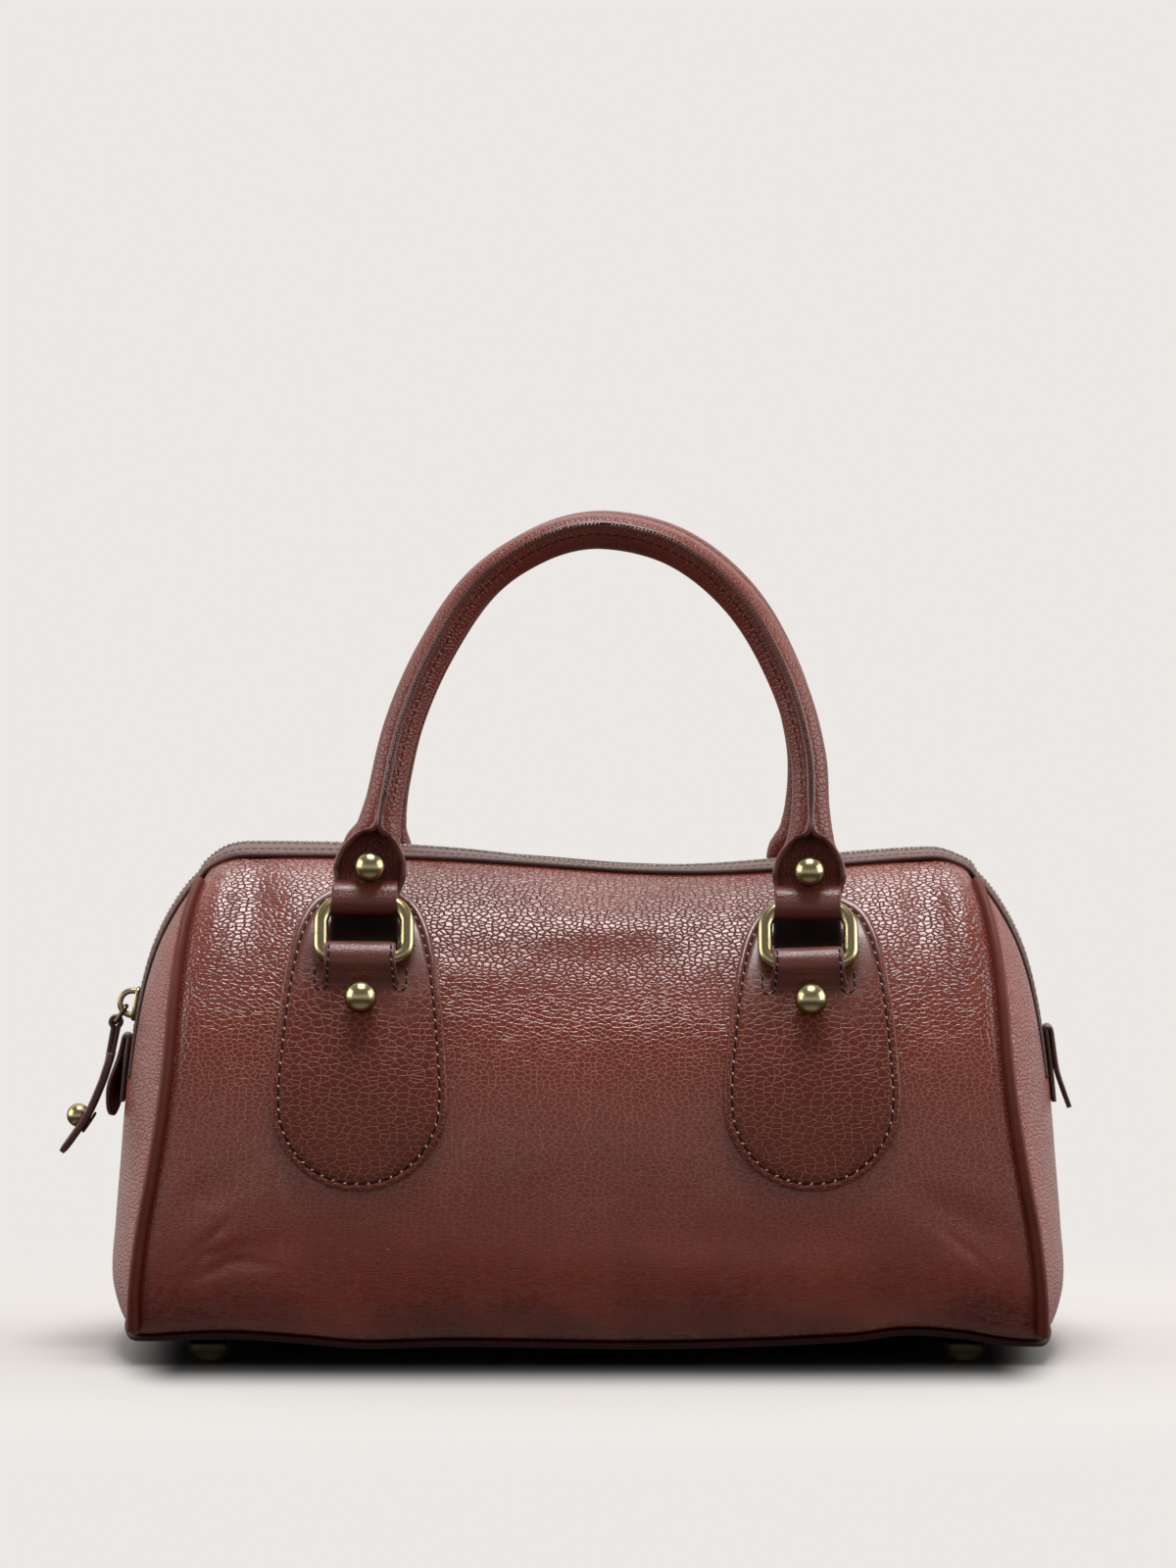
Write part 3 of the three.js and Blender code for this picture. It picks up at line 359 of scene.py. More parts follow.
def unit(vector):
    """Vectors of length 1 in the same directions."""
    vector = np.asarray(vector, float)
    return vector / np.linalg.norm(vector, axis=-1, keepdims=True)


def rod(name, points, made_of, replaces=(), flat=None):
    """A grid as a piece whose rows close round it, with its first and last rows capped."""
    return piece(name, points, [made_of], replaces, wrap=(False, True), caps=True, flat=flat)


def turned(profile, seat, axis, sides=48):
    """A profile of (radius, height) rows turned about an axis that stands on a seat. The first direction is
    square to the axis, and which one does not matter."""
    axis = unit(axis)
    first = unit(np.cross(axis, (0.31, 0.87, 0.2)))
    angle = np.linspace(0, 2 * np.pi, sides, endpoint=False)[:, None]
    ring = np.cos(angle) * first + np.sin(angle) * np.cross(axis, first)
    profile = np.asarray(profile, float)
    return np.asarray(seat) + profile[:, :1, None] * ring + profile[:, 1:, None] * axis


def brass(name, rough=0.24, tone=1.0):
    """Antique brass: bright where it is rubbed, brown where it has tarnished, with fine scratches."""
    def paint(shade):
        place = shade.node("TexCoord", None, None, "Object")
        cloud = shade.noise(place, 190.0, 4.0)
        scratch = shade.noise(place.vector("MULTIPLY", (1.0, 1.0, 9.0)), 900.0, 3.0)
        stain = cloud.step(0.52, 0.78)
        return shade.node("BsdfPrincipled", None, {
            "Base Color": (stain * 0.5).mix(dyed(ANTIQUE_BRASS, tone), TARNISH),
            "Metallic": 1.0,
            "Specular Tint": BRASS_RIM,
            "Roughness": rough + stain * 0.14 + (scratch - 0.5) * 0.1,
            "Normal": shade.bump(cloud * 0.7 + scratch * 0.3, 0.014),
        })
    return finish(name, paint)


aged_brass = brass("aged_brass")
# The feet's brass darkened to a tenth: painted shade, as they stand in the shadow under the bag
shaded_foot_brass = brass("shade_darkened_brass", 0.45, 0.1)
dome = np.radians(np.linspace(*FOOT_SWING, 22))
dome_radius = FOOT_FLAT + (FOOT_RADIUS - FOOT_FLAT) * np.cos(dome)
foot_dome = np.stack([dome_radius, FOOT_WAIST * (1 - np.sin(dome) / np.sin(dome[0]))], -1)
for corner, x, y in FOOT_PLACES:
    under = base_height(np.array([x - STEM_RADIUS, x, x + STEM_RADIUS])).min() - WALL / 2
    rim = [(FOOT_FLAT - 0.6, 0), (FOOT_FLAT + 0.3, 0)]
    stem = [(STEM_RADIUS + 0.6, FOOT_RISE), (STEM_RADIUS, FOOT_RISE + 0.2),
            (STEM_RADIUS, max(under - 0.3, FOOT_RISE + 0.5))]
    foot = turned([*rim, *foot_dome, *stem], (x, y, 0), (0, 0, 1))
    rod("foot_" + corner + "_dome", foot, shaded_foot_brass, ["foot_" + corner])

# Front and back panels
# The two large leather panels, soft enough to sag at the zip, dent beside the corners and wrinkle near the
# base. Each is turned in along its edges, where it is sewn to the piping.
SIDES = (("front", -1), ("back", 1))
CREST_LEVEL, SHOULDER_FROM, SAG_FROM, BASE_BLEND = 171.3, 117.0, 100.0, 50.0
SAGS = {-1: (6.0, 35.0, 66.0), 1: (6.2, 32.0, 60.0)}
PANEL_ROWS, PANEL_COLUMNS = 118, 224
TURN_IN, TURN_WIDTH = 2.2, 6.0
BASE_SLACK, TOP_SLACK, TOP_STRETCH = 1.5, 1.6, 1.4
# Hollows (positive) and swells: x, height, reach along, reach across, turn in degrees, depth
HOLLOWS = np.array([
    (-115, 152, 9, 14, 0, 2.6),
    (116, 152, 9, 14, 0, 2.6),
    (12, 142, 38, 18, 0, 1.6),
])
FOLDS = np.array([
    (-42, 131, 24, 5.5, 0, -0.75),
    (8, 148.5, 30, 8.5, 4, -3.2),
    (8, 122, 30, 8, 0, 0.6),
    (-126, 152, 5, 20, 0, -0.9),
    (127, 150, 5, 18, 0, -0.9),
    (44, 138, 12, 6, 25, -0.6),
    (30, 149, 18, 4, -25, 0.35),
    (8, 118, 16, 7, -55, -0.4),
    (-57, 144, 4, 16, 10, -0.5),
    (58, 146, 4, 14, -14, -0.5),
    (96, 143, 5, 15, 18, -0.5),
    (-92, 143, 4, 16, -6, -0.5),
    (-128, 60, 14, 6, 35, 0.5),
    (124, 52, 18, 7, -30, 0.6),
    (-118, 36, 16, 5, 20, 0.5),
    (-128, 44, 9, 1.7, 42, 0.38),
    (-121, 40, 11, 1.6, 14, 0.36),
    (-131, 36, 7, 1.6, 62, 0.32),
    (-115, 35, 10, 1.5, -8, 0.3),
    (-125, 33, 8, 1.5, 28, 0.3),
    (128, 40, 10, 1.7, -38, 0.3),
    (0, 60, 70, 12, 3, 0.5),
    (40, 34, 60, 9, -3, -0.5),
    (-131, 120, 7, 30, 5, -0.8),
    (130, 118, 7, 30, -5, -0.8),
])
COGNAC = (0.182, 0.0302, 0.017)


def bell(x, at, reach):
    """A bell-shaped curve: 1 at a place, falling to 1/e at its reach."""
    return np.exp(-(((x - at) / reach) ** 2))


def smooth(t):
    """Smooth step from 0 to 1."""
    t = np.clip(t, 0, 1)
    return t * t * (3 - 2 * t)


def top_height(side, x):
    """Height of the zip strip's seam: a level crest less a bell-shaped sag, rounded off at the shoulders."""
    depth, at, reach = SAGS[side]
    fade = 1 - (x / TOP_SEAM) ** 8
    rounded = np.maximum(0, (np.abs(x) - SHOULDER_FROM) / (TOP_SEAM - SHOULDER_FROM))
    return CREST_LEVEL - depth * bell(x, at, reach) * fade - (CREST_LEVEL - TOP_LEVEL) * rounded ** 2


def lift(side, s, height):
    """How far the base wave and the sagging top move a point at a share s of the way to the side seam."""
    low = 1 - smooth((height - BASE_LEVEL) / BASE_BLEND)
    high = smooth((height - SAG_FROM) / (TOP_LEVEL - SAG_FROM))
    wave = base_height(s * BASE_SEAM) - BASE_LEVEL
    return low * wave + high * (top_height(side, s * TOP_SEAM) - TOP_LEVEL)


def pushed(table, x, height):
    """Sum of turned bell-shaped hollows."""
    at_x, at_height, long, wide, turn, depth = table.T
    turn = np.radians(turn)
    dx, dz = x[..., None] - at_x, height[..., None] - at_height
    first, second = dx * np.cos(turn) + dz * np.sin(turn), dz * np.cos(turn) - dx * np.sin(turn)
    return (depth * np.exp(-((first / long) ** 2) - (second / wide) ** 2)).sum(-1)


def panel_point(side, s, height, extra=0.0):
    """Outer surface of the front (-1) or back (1): a level section widened by its crown, less its hollows."""
    s, height = np.broadcast_arrays(np.asarray(s, float), np.asarray(height, float))
    x = s * read(SECTIONS, height, SEAM_HALF)
    depth = read(SECTIONS, height, HALF_DEPTH) + read(SECTIONS, height, CROWN) * (1 - s * s)
    depth = depth - pushed(HOLLOWS, x, height) - extra
    return np.stack([x, side * depth, height + lift(side, s, height)], -1)


def panel_normal(side, s, height):
    """Outward normal of a panel from small steps along and up it."""
    step_s, step_h = 0.02, 1.0
    along = panel_point(side, s + step_s, height) - panel_point(side, s - step_s, height)
    up = panel_point(side, s, height + step_h) - panel_point(side, s, height - step_h)
    return unit(np.cross(along, up)) * -side


def eased(count, share=0.45):
    """Numbers from -1 to 1, closer together near the ends: a share of even steps, the rest a sine."""
    even = np.linspace(-1, 1, count)
    return share * even + (1 - share) * np.sin(np.pi / 2 * even)


def turned_in(distance):
    """How far leather is drawn in at a distance from its seam: a parabola down to the edge."""
    return TURN_IN * np.maximum(1 - distance / TURN_WIDTH, 0) ** 2


# The panel takes painted shade in its creases, below its highlight band and at its foot, painted highlights
# on its crease lips, and painted fill light low down
panel_leather = leather("panel_leather", COGNAC, cell=(2.35, 1.55), depth=0.16, rough=0.16, shine=0.68,
                        groove=0.24, dark=0.95, fade=(35, 130), pressed=(154, 162), wear_and_painted_light=(112, 136),
                        low_painted_light=(3, 30, 110))
bottom, crown = BASE_LEVEL + SEAM_INSET, TOP_LEVEL - SEAM_INSET * np.sqrt(0.5)
rows = (eased(PANEL_ROWS) + 1) / 2 * (crown - bottom) + bottom
level, share = np.meshgrid(rows, eased(PANEL_COLUMNS), indexing="ij")
seam_x = read(SECTIONS, level, SEAM_HALF)
share = share * (1 - SEAM_INSET / seam_x)
from_side = np.maximum(TURN_WIDTH - (1 - np.abs(share)) * seam_x + SEAM_INSET, 0)
from_base = np.maximum(TURN_WIDTH - level + bottom - BASE_SLACK, 0)
from_top = (crown - level) * TOP_STRETCH + TOP_SLACK
edge = np.minimum(TURN_WIDTH - np.hypot(from_side, from_base), from_top)
for name, side in SIDES:
    folds = pushed(FOLDS, side * -share * seam_x, level)
    skin = panel_point(side, share, level, folds + turned_in(edge))
    piece(name + "_leather", skin, [panel_leather], [name + "_panel"],
          inside=BAG_CORE, wall=WALL)

# End panels
# The two ends of the body, bowed out and cut away in the middle from above for the zip strip.
# They are of the same leather with a smoother face, sewn to the piping of the front and back.
FLANK_TOP, NOTCH_LEVEL = 160.0, 95.0
NOTCH_HALF = STRIP_HALF + SEAM_INSET
FLANK_COLUMNS, NOTCH_COLUMNS, LOWER_ROWS, UPPER_ROWS, FLANK_CURVE = 36, 28, 60, 46, 1.4
NOTCH_SLACK, END_DRAW = 1.5, 0.7
ENDS = (("left", -1), ("right", 1))
# The panels' cognac lightened for the ends: painted light, as they are the same leather as the panels
LIT_END_COGNAC = (0.23, 0.042, 0.024)
end_leather = leather("end_leather", LIT_END_COGNAC, cell=(2.0, 1.6), depth=0.22, rough=0.26, shine=0.55,
                      groove=0.25)


def end_point(side, y, height, extra=0.0):
    """Outer surface of an end: a parabola across from the end's middle to the side seams."""
    y, height = np.broadcast_arrays(np.asarray(y, float), np.asarray(height, float))
    seam_half, end_half = read(SECTIONS, height, SEAM_HALF), read(SECTIONS, height, END_HALF)
    reach = end_half - (end_half - seam_half) * (y / read(SECTIONS, height, HALF_DEPTH)) ** 2
    return np.stack([side * (reach - extra), y, height + lift(-1, np.full(y.shape, side), height)], -1)


def end_normal(side, height):
    """Outward normal along the middle of an end."""
    rise = end_point(side, 0, height + 1.0) - end_point(side, 0, height - 1.0)
    return unit(np.cross(rise, (0, -side, 0)))


below_notch = np.linspace(BASE_LEVEL + SEAM_INSET, NOTCH_LEVEL, LOWER_ROWS)
levels = np.concatenate([below_notch, np.linspace(NOTCH_LEVEL, FLANK_TOP, UPPER_ROWS)[1:]])
slope = (read(SECTIONS, levels + 1, HALF_DEPTH) - read(SECTIONS, levels - 1, HALF_DEPTH)) / 2
outer = read(SECTIONS, levels, HALF_DEPTH) - SEAM_INSET * np.hypot(1, slope)
flank = np.linspace(0, 1, FLANK_COLUMNS) ** FLANK_CURVE
flank_y = NOTCH_HALF + (outer - NOTCH_HALF)[:, None] * flank[::-1]
notch_y = np.linspace(-NOTCH_HALF, NOTCH_HALF, NOTCH_COLUMNS)[1:-1]
notch_y = np.broadcast_to(notch_y, (len(levels), len(notch_y)))
end_y = np.concatenate([-flank_y, notch_y, flank_y[:, ::-1]], 1)
end_level = np.broadcast_to(levels[:, None], end_y.shape)
in_notch = np.abs((end_y[:-1, :-1] + end_y[:-1, 1:]) / 2) < NOTCH_HALF
kept = ~(in_notch & (end_level[:-1, :-1] >= NOTCH_LEVEL))
seam_gap = np.minimum(outer[:, None] - np.abs(end_y), end_level - BASE_LEVEL - SEAM_INSET)
notch_gap = np.hypot(np.maximum(np.abs(end_y) - NOTCH_HALF, 0), np.maximum(NOTCH_LEVEL - end_level, 0))
drawn = turned_in(np.minimum(seam_gap, notch_gap + NOTCH_SLACK)) * END_DRAW
for name, side in ENDS:
    piece(name + "_end_leather", end_point(side, end_y, end_level, drawn), [end_leather],
          [name + "_end_panel"], keep=kept, inside=BAG_CORE, wall=WALL)

# Piping
# Strips of leather folded over a cord, with a flange that is sewn into the seam: down the four sides, round
# the base, and along both edges of the zip strip. The side piping is brown, and the rest is darker.
PIPING_SIDES, PIPING_FLANGE = 16, 3.2
BASE_CORD_RADIUS, BASE_CORD_INSET, BASE_CORD_RAISE = 1.1, 0.8, 0.35
BASE_CORD_ALONG, BASE_CORD_ACROSS = 160, 60
CHESTNUT = (0.11, 0.02, 0.0125)
# The base cord's dark brown, darkened further as painted shade under the overhanging panels
SHADED_DARK_BROWN = (0.024, 0.006, 0.0055)


def cord_leather(name, colour, rough, shine):
    """Thin leather drawn tight over a cord, its pebbles small and shallow."""
    return leather(name, colour, cell=(1.4, 1.2), depth=0.06, rough=rough, pebble=0.4, shine=shine)


piping_leather = cord_leather("piping_leather", CHESTNUT, 0.5, 0.2)
shaded_dark_piping = cord_leather("shaded_dark_piping", SHADED_DARK_BROWN, 0.6, 0.12)


def tube(path, radius, reference, sides=PIPING_SIDES, closed=False, flange=0.0):
    """A round cord along a path: circles square to it, the first direction kept near a reference, and along
    that direction a flange drawn out of the circle."""
    ahead, behind = np.roll(path, -1, 0), np.roll(path, 1, 0)
    if not closed:
        ahead[-1], behind[0] = path[-1], path[0]
    tangent = unit(ahead - behind)
    reference = np.broadcast_to(np.asarray(reference, float), path.shape)
    first = unit(reference - (reference * tangent).sum(-1, keepdims=True) * tangent)
    second = np.cross(tangent, first)
    angle = np.linspace(0, 2 * np.pi, sides, endpoint=False)[None, :, None]
    radius = np.broadcast_to(radius, len(path))[:, None, None]
    drawn = radius * np.cos(angle) + flange * np.maximum(np.cos(angle), 0) ** 6
    return path[:, None] + drawn * first[:, None] + radius * np.sin(angle) * second[:, None]


def hand_made(count, waves=(7, 17, 29), amount=0.03):
    """Slight swelling along a sewn cord: a sum of waves about 1."""
    t = np.linspace(0, 2 * np.pi, count)
    return 1 + amount * sum(np.sin(wave * t + wave) for wave in waves) / len(waves)


seam_levels = np.linspace(BASE_LEVEL + 2 * PIPING_RADIUS + 0.3, TOP_LEVEL - 2.2 * PIPING_RADIUS, 150)
for depth_name, side in SIDES:
    for end_name, end in ENDS:
        at_end = np.full(seam_levels.shape, float(end))
        seam = panel_point(side, at_end, seam_levels)
        inward = -panel_normal(side, at_end, seam_levels) - np.array([end, 0, 0])
        name = depth_name + "_" + end_name
        cord = tube(seam, PIPING_RADIUS * hand_made(len(seam)), inward, flange=PIPING_FLANGE)
        rod("side_cord_" + name, cord, piping_leather, ["side_piping_" + name])

along = np.linspace(-1, 1, BASE_CORD_ALONG + 1)[:-1]
across = np.linspace(-1, 1, BASE_CORD_ACROSS + 1)[:-1]
rim_s = np.concatenate([along, np.ones(len(across)), -along, -np.ones(len(across))])[:, None]
rim_w = np.concatenate([-np.ones(len(along)), across, np.ones(len(along)), -across])[:, None]
angle = np.linspace(0, 2 * np.pi, PIPING_SIDES, endpoint=False)
cord_inset = BASE_CORD_INSET + BASE_CORD_RADIUS * np.cos(angle)
cord_drop = BASE_CORD_RADIUS * np.sin(angle) - BASE_CORD_RAISE
piece("base_cord", base_point(rim_s, rim_w, cord_inset, cord_drop), [shaded_dark_piping],
      ["base_piping"], wrap=(True, True))

# Zip strip
# A strip over the top and down both ends: a leather facing with two rows of stitches either side of the zip,
# piped along its outer edges.
ARCH_RISE, ARCH_TILT, ARCH_HOLLOW, ARCH_REACH, CORNER_RISE = 2.5, 0.006, 2.2, 45.0, 1.3
ZIP_FOOT, ZIP_CORD_RADIUS, ZIP_CORD_SEAT = 93.8, 0.9, -0.55
ZIP_LEVELS = np.array([ZIP_FOOT, 110, 124, 136, 146, 154, 160, 164])
ZIP_COLUMNS = np.array([14, 40, 63, 84, 101, 113, 121, 127.0])
ZIP_STEP = 1.2
# Section of a facing: distance from the middle, raise
FACING_SECTION = np.array([
    (16.1, -1.0), (16.0, -0.45), (15.6, -0.1), (14.6, 0.02), (13.6, 0.05), (13.2, -0.14), (12.8, 0.05),
    (10.0, 0.12), (7.0, 0.1), (6.3, 0.05), (5.9, -0.15), (5.5, 0.05), (4.6, 0.05), (3.9, -0.1), (3.55, -0.5),
    (3.5, -1.1), (3.9, -1.7), (9.0, -1.8), (15.5, -1.75),
])
FACING_STITCHES, FACING_STITCH_SEAT = (13.2, 5.9), -0.1
CORD_BROWN = (0.05, 0.015, 0.011)
FACING_BROWN = (0.085, 0.021, 0.0155)
DARK_THREAD = (0.005, 0.0025, 0.002)


def zip_controls(y):
    """Points of the strip at a distance y across it: up the left end, over the top and down the right end."""
    bow = 1 - (y / STRIP_HALF) ** 2
    x = np.concatenate([-ZIP_COLUMNS[::-1], ZIP_COLUMNS])
    seam = top_height(-1, x) + (top_height(1, x) - top_height(-1, x)) * (y + STRIP_HALF) / (2 * STRIP_HALF)
    arch = ARCH_RISE - ARCH_TILT * x - ARCH_HOLLOW * bell(x, 0, ARCH_REACH)
    top = np.stack([x, np.full(x.shape, y), seam + arch * bow], -1)
    out = CORNER_RISE * bow
    corners = [np.array([[side * (TOP_SEAM + out), y, TOP_LEVEL + out]]) for side in (-1, 1)]
    left, right = end_point(-1, y, ZIP_LEVELS), end_point(1, y, ZIP_LEVELS[::-1])
    return np.concatenate([left, corners[0], top, corners[1], right])


def lengths_along(path):
    """Length from the first point of a path to each of its points."""
    return np.concatenate([[0], np.cumsum(np.linalg.norm(np.diff(path, axis=0), axis=1))])


middle_line = zip_controls(0.0)
zip_keys = lengths_along(middle_line)
ZIP_LENGTH = zip_keys[-1]


def zip_at(t, y, rise=0.0):
    """A point of the zip strip: t along it, y across it, raised out of it."""
    table = np.column_stack([zip_keys, zip_controls(y)])
    line = np.column_stack([zip_keys, middle_line])
    tangent = unit(np.stack([read(line, t + 1, n) - read(line, t - 1, n) for n in (1, 3)], -1))
    place = np.stack([read(table, t, column) for column in (1, 2, 3)], -1)
    return place + rise * np.stack([-tangent[:, 1], 0 * t, tangent[:, 0]], -1)


def stitch_row(name, path, normal, finishes, pitch=4.0, radius=0.31):
    """Stitches along a path on a surface: a dark bar sunk in the leather for each, and between two of them,
    where a second finish is given, a pale speck painted on as a glint on the thread. Each is a
    six-sided bar with tapered ends that dip."""
    steps = lengths_along(path)
    count = max(int(steps[-1] / pitch), 1)
    turn = np.linspace(0, 2 * np.pi, 6, endpoint=False)
    ends = np.array([-0.5, -0.44, -0.25, 0.25, 0.44, 0.5])
    fat = np.array([0.35, 0.8, 1.0, 1.0, 0.8, 0.35])
    rings, sides = len(ends), len(turn)
    r, c = np.meshgrid(np.arange(rings - 1), np.arange(sides), indexing="ij")
    beside = (c + 1) % sides
    quads = np.stack([r * sides + c, r * sides + beside, (r + 1) * sides + beside, (r + 1) * sides + c], -1)
    caps = np.stack([np.arange(sides)[::-1], np.arange(sides) + (rings - 1) * sides])
    offset = (np.arange(count) * rings * sides)[:, None]
    loops = np.concatenate([(quads.ravel()[None] + offset).ravel(), (caps.ravel()[None] + offset).ravel()])
    sizes = np.concatenate([np.full(count * quads.size // 4, 4), np.full(count * 2, sides)])

    def between(rows, at):
        """Rows read straight between the points of the path at some lengths along it."""
        return np.stack([np.interp(at, steps, rows[:, n]) for n in range(3)], -1)

    # Place in the pitch, length, radius, rise, slant in degrees
    kinds = (("_thread", 0.5, pitch * 0.72, radius, -0.02, 4.0),
             ("_specks", 1.0, 0.95, radius * 0.75, 0.12, 40.0))
    for (kind, place, length, thick, rise, slant), made_of in zip(kinds, finishes):
        at = (np.arange(count) + place) * steps[-1] / count
        middle = between(path, at)
        out = unit(between(normal, at))
        along = unit(between(path, at + 0.5) - between(path, at - 0.5))
        side = np.cross(out, along)
        c, s = np.cos(np.radians(slant)), np.sin(np.radians(slant))
        along, side = along * c + side * s, side * c - along * s
        local = np.stack(np.broadcast_arrays(
            (ends * length)[:, None], (fat * thick)[:, None] * np.cos(turn),
            (fat * thick)[:, None] * np.sin(turn) + (rise - thick * ends ** 2)[:, None]), -1).reshape(-1, 3)
        points = middle[:, None] + local[:, :1] * along[:, None] + local[:, 1:2] * side[:, None]
        points = (points + local[:, 2:] * out[:, None]).reshape(-1, 3)
        mesh_piece(name + kind, points, loops, sizes, np.zeros((len(loops), 2)), [made_of], (), 0)


def thread(name, colour, rough=0.55):
    """Waxed sewing thread, mottled by its fuzz."""
    def paint(shade):
        place = shade.node("TexCoord", None, None, "Object")
        fuzz = shade.noise(place, 2600.0, 2.0)
        return shade.node("BsdfPrincipled", None, {
            "Base Color": fuzz.step(0.3, 0.7).mix(dyed(colour, 0.6), dyed(colour, 1.25)),
            "Roughness": rough + (fuzz - 0.5) * 0.2,
            "Specular IOR Level": 0.15,
            "Normal": shade.bump(fuzz, 0.06),
        })
    return finish(name, paint)


def plain_leather(name, colour, pebble=0.4):
    """Leather of the small cut pieces, with a satin face and shallow pebbles."""
    return leather(name, colour, cell=(1.8, 1.4), depth=0.1, rough=0.42, pebble=pebble, shine=0.5)


dark_thread = thread("dark_thread", DARK_THREAD, 0.6)
zip_cord_leather = cord_leather("zip_cord_leather", CORD_BROWN, 0.5, 0.3)
facing_leather = plain_leather("facing_leather", FACING_BROWN, 0.5)
zip_t = np.linspace(0, ZIP_LENGTH, int(ZIP_LENGTH / ZIP_STEP))
for name, side in SIDES:
    strip = np.stack([zip_at(zip_t, side * y, rise) for y, rise in FACING_SECTION], 1)
    rod("facing_" + name, strip, facing_leather, ["zip_facing_" + name])
    cord_line = zip_at(zip_t, side * STRIP_HALF, ZIP_CORD_SEAT)
    cord = tube(cord_line, ZIP_CORD_RADIUS * hand_made(len(zip_t)), (0, 1, 0))
    rod("zip_cord_" + name, cord, zip_cord_leather, ["zip_piping_" + name])
    for row, y in enumerate(FACING_STITCHES):
        line = zip_at(zip_t, side * y, FACING_STITCH_SEAT)
        out = zip_at(zip_t, side * y, 1.0) - zip_at(zip_t, side * y, 0.0)
        stitch_row("facing_seam_%s_%d" % (name, row), line, out, [dark_thread], 2.6, 0.34)

# Zip
# Two woven tapes with brass teeth that mesh along the middle, sewn under the facings.
# The tape is dark, and the teeth are paler than the other metal.
TAPE_HALF, TAPE_RAISE, TAPE_THICK = 4.6, -1.1, 0.5
TOOTH_PITCH, TOOTH_LENGTH, TOOTH_WIDTH, TOOTH_HEIGHT, TOOTH_LEAN = 3.4, 2.7, 0.95, 1.45, 0.42
ZIP_TAPE = (0.010, 0.007, 0.006)
TOOTH_METAL = (0.44, 0.39, 0.31)


def woven(name, colour):
    """Twilled tape: fine ribs that slant across it."""
    def paint(shade):
        flat = shade.node("UVMap", {"uv_map": "flat"})
        ribs = {"wave_type": "BANDS", "bands_direction": "DIAGONAL"}
        rib = shade.node("TexWave", ribs, {"Vector": flat, "Scale": 1.1, "Distortion": 0.6}, "Fac")
        return shade.node("BsdfPrincipled", None, {
            "Base Color": rib.mix(dyed(colour, 0.5), dyed(colour, 1.3)),
            "Roughness": 0.85,
            "Normal": shade.bump(rib, 0.15),
        })
    return finish(name, paint)


def zip_metal(name):
    """Pale brass of the teeth, with grime in patches."""
    def paint(shade):
        place = shade.node("TexCoord", None, None, "Object")
        grime = shade.noise(place, 420.0, 3.0).step(0.5, 0.8)
        return shade.node("BsdfPrincipled", None, {
            "Base Color": (grime * 0.6).mix(TOOTH_METAL, TARNISH),
            "Metallic": 1.0,
            "Roughness": 0.26 + grime * 0.25,
        })
    return finish(name, paint)


tape_under = TAPE_RAISE - TAPE_THICK
tape_section = [(-TAPE_HALF, tape_under), (-TAPE_HALF, TAPE_RAISE), (-1.0, TAPE_RAISE), (1.0, TAPE_RAISE),
                (TAPE_HALF, TAPE_RAISE), (TAPE_HALF, tape_under)]
tape = np.stack([zip_at(zip_t, y, rise) for y, rise in tape_section], 1)
rod("zip_tape", tape, woven("zip_tape_weave", ZIP_TAPE), ["zip_chain"])
tooth_t = np.arange(TOOTH_PITCH, ZIP_LENGTH - TOOTH_PITCH, TOOTH_PITCH / 2)
lean = np.where(np.arange(len(tooth_t)) % 2, TOOTH_LEAN, -TOOTH_LEAN)
base = zip_at(tooth_t, 0.0, TAPE_RAISE)
out = zip_at(tooth_t, 0.0, TAPE_RAISE + 1) - base
ahead = unit(zip_at(tooth_t + 0.5, 0.0) - zip_at(tooth_t - 0.5, 0.0))
# A tooth is three squares, one above the other: height, size
tooth_shape = np.array([(a, y, z) for z, size in ((-0.1, 1.0), (0.55, 1.0), (1.0, 0.72))
                        for a, y in ((-size, -size), (size, -size), (size, size), (-size, size))])
tooth_shape = tooth_shape * (TOOTH_WIDTH / 2, TOOTH_LENGTH / 2, TOOTH_HEIGHT)
centre = base + np.stack([0 * lean, lean * TOOTH_LENGTH / 2, 0 * lean], -1)
teeth = centre[:, None] + tooth_shape[:, :1] * ahead[:, None] + tooth_shape[:, 1:2] * np.array([0, 1.0, 0])
teeth = (teeth + tooth_shape[:, 2:] * out[:, None]).reshape(-1, 3)
quads = np.array([(a + k, a + (k + 1) % 4, a + 4 + (k + 1) % 4, a + 4 + k) for a in (0, 4) for k in range(4)]
                 + [(3, 2, 1, 0), (8, 9, 10, 11)])
loops = (quads.ravel() + (np.arange(len(tooth_t)) * len(tooth_shape))[:, None]).ravel()
flat_faces = len(loops) // 4
made = mesh_piece("zip_teeth", teeth, loops, np.full(flat_faces, 4), np.zeros((len(loops), 2)),
                  [zip_metal("zip_teeth_metal")], (), 0)
made.data.polygons.foreach_set("use_smooth", np.zeros(flat_faces, bool))

# Zip slider and its link
# A cast brass slider parked on the left end. A tall bridge is cast on its deck for the wire link, which is
# bent to a rectangle and holds the puller.
SLIDER_LEVEL, SLIDER_LENGTH, SLIDER_WIDTH, SLIDER_NOSE = 118.0, 12.0, 8.4, 6.7
SLIDER_SEAT, SLIDER_DECK = 0.1, 1.5
BRIDGE_SPAN, BRIDGE_TOP, BRIDGE_ROOT, BRIDGE_HALF_WIDTH, BRIDGE_HALF_THICK = 8.6, 6.2, 0.4, 1.7, 1.0
LINK_WIRE, LINK_HALF = 0.85, 4.0
LINK_INNER, LINK_OUTER = (-1.6, 3.95), (-7.4, 6.4)
slider_seat = end_point(-1, 0.0, SLIDER_LEVEL)
slider_out = end_normal(-1, SLIDER_LEVEL)
slider_up = np.cross((0, 1.0, 0), slider_out)


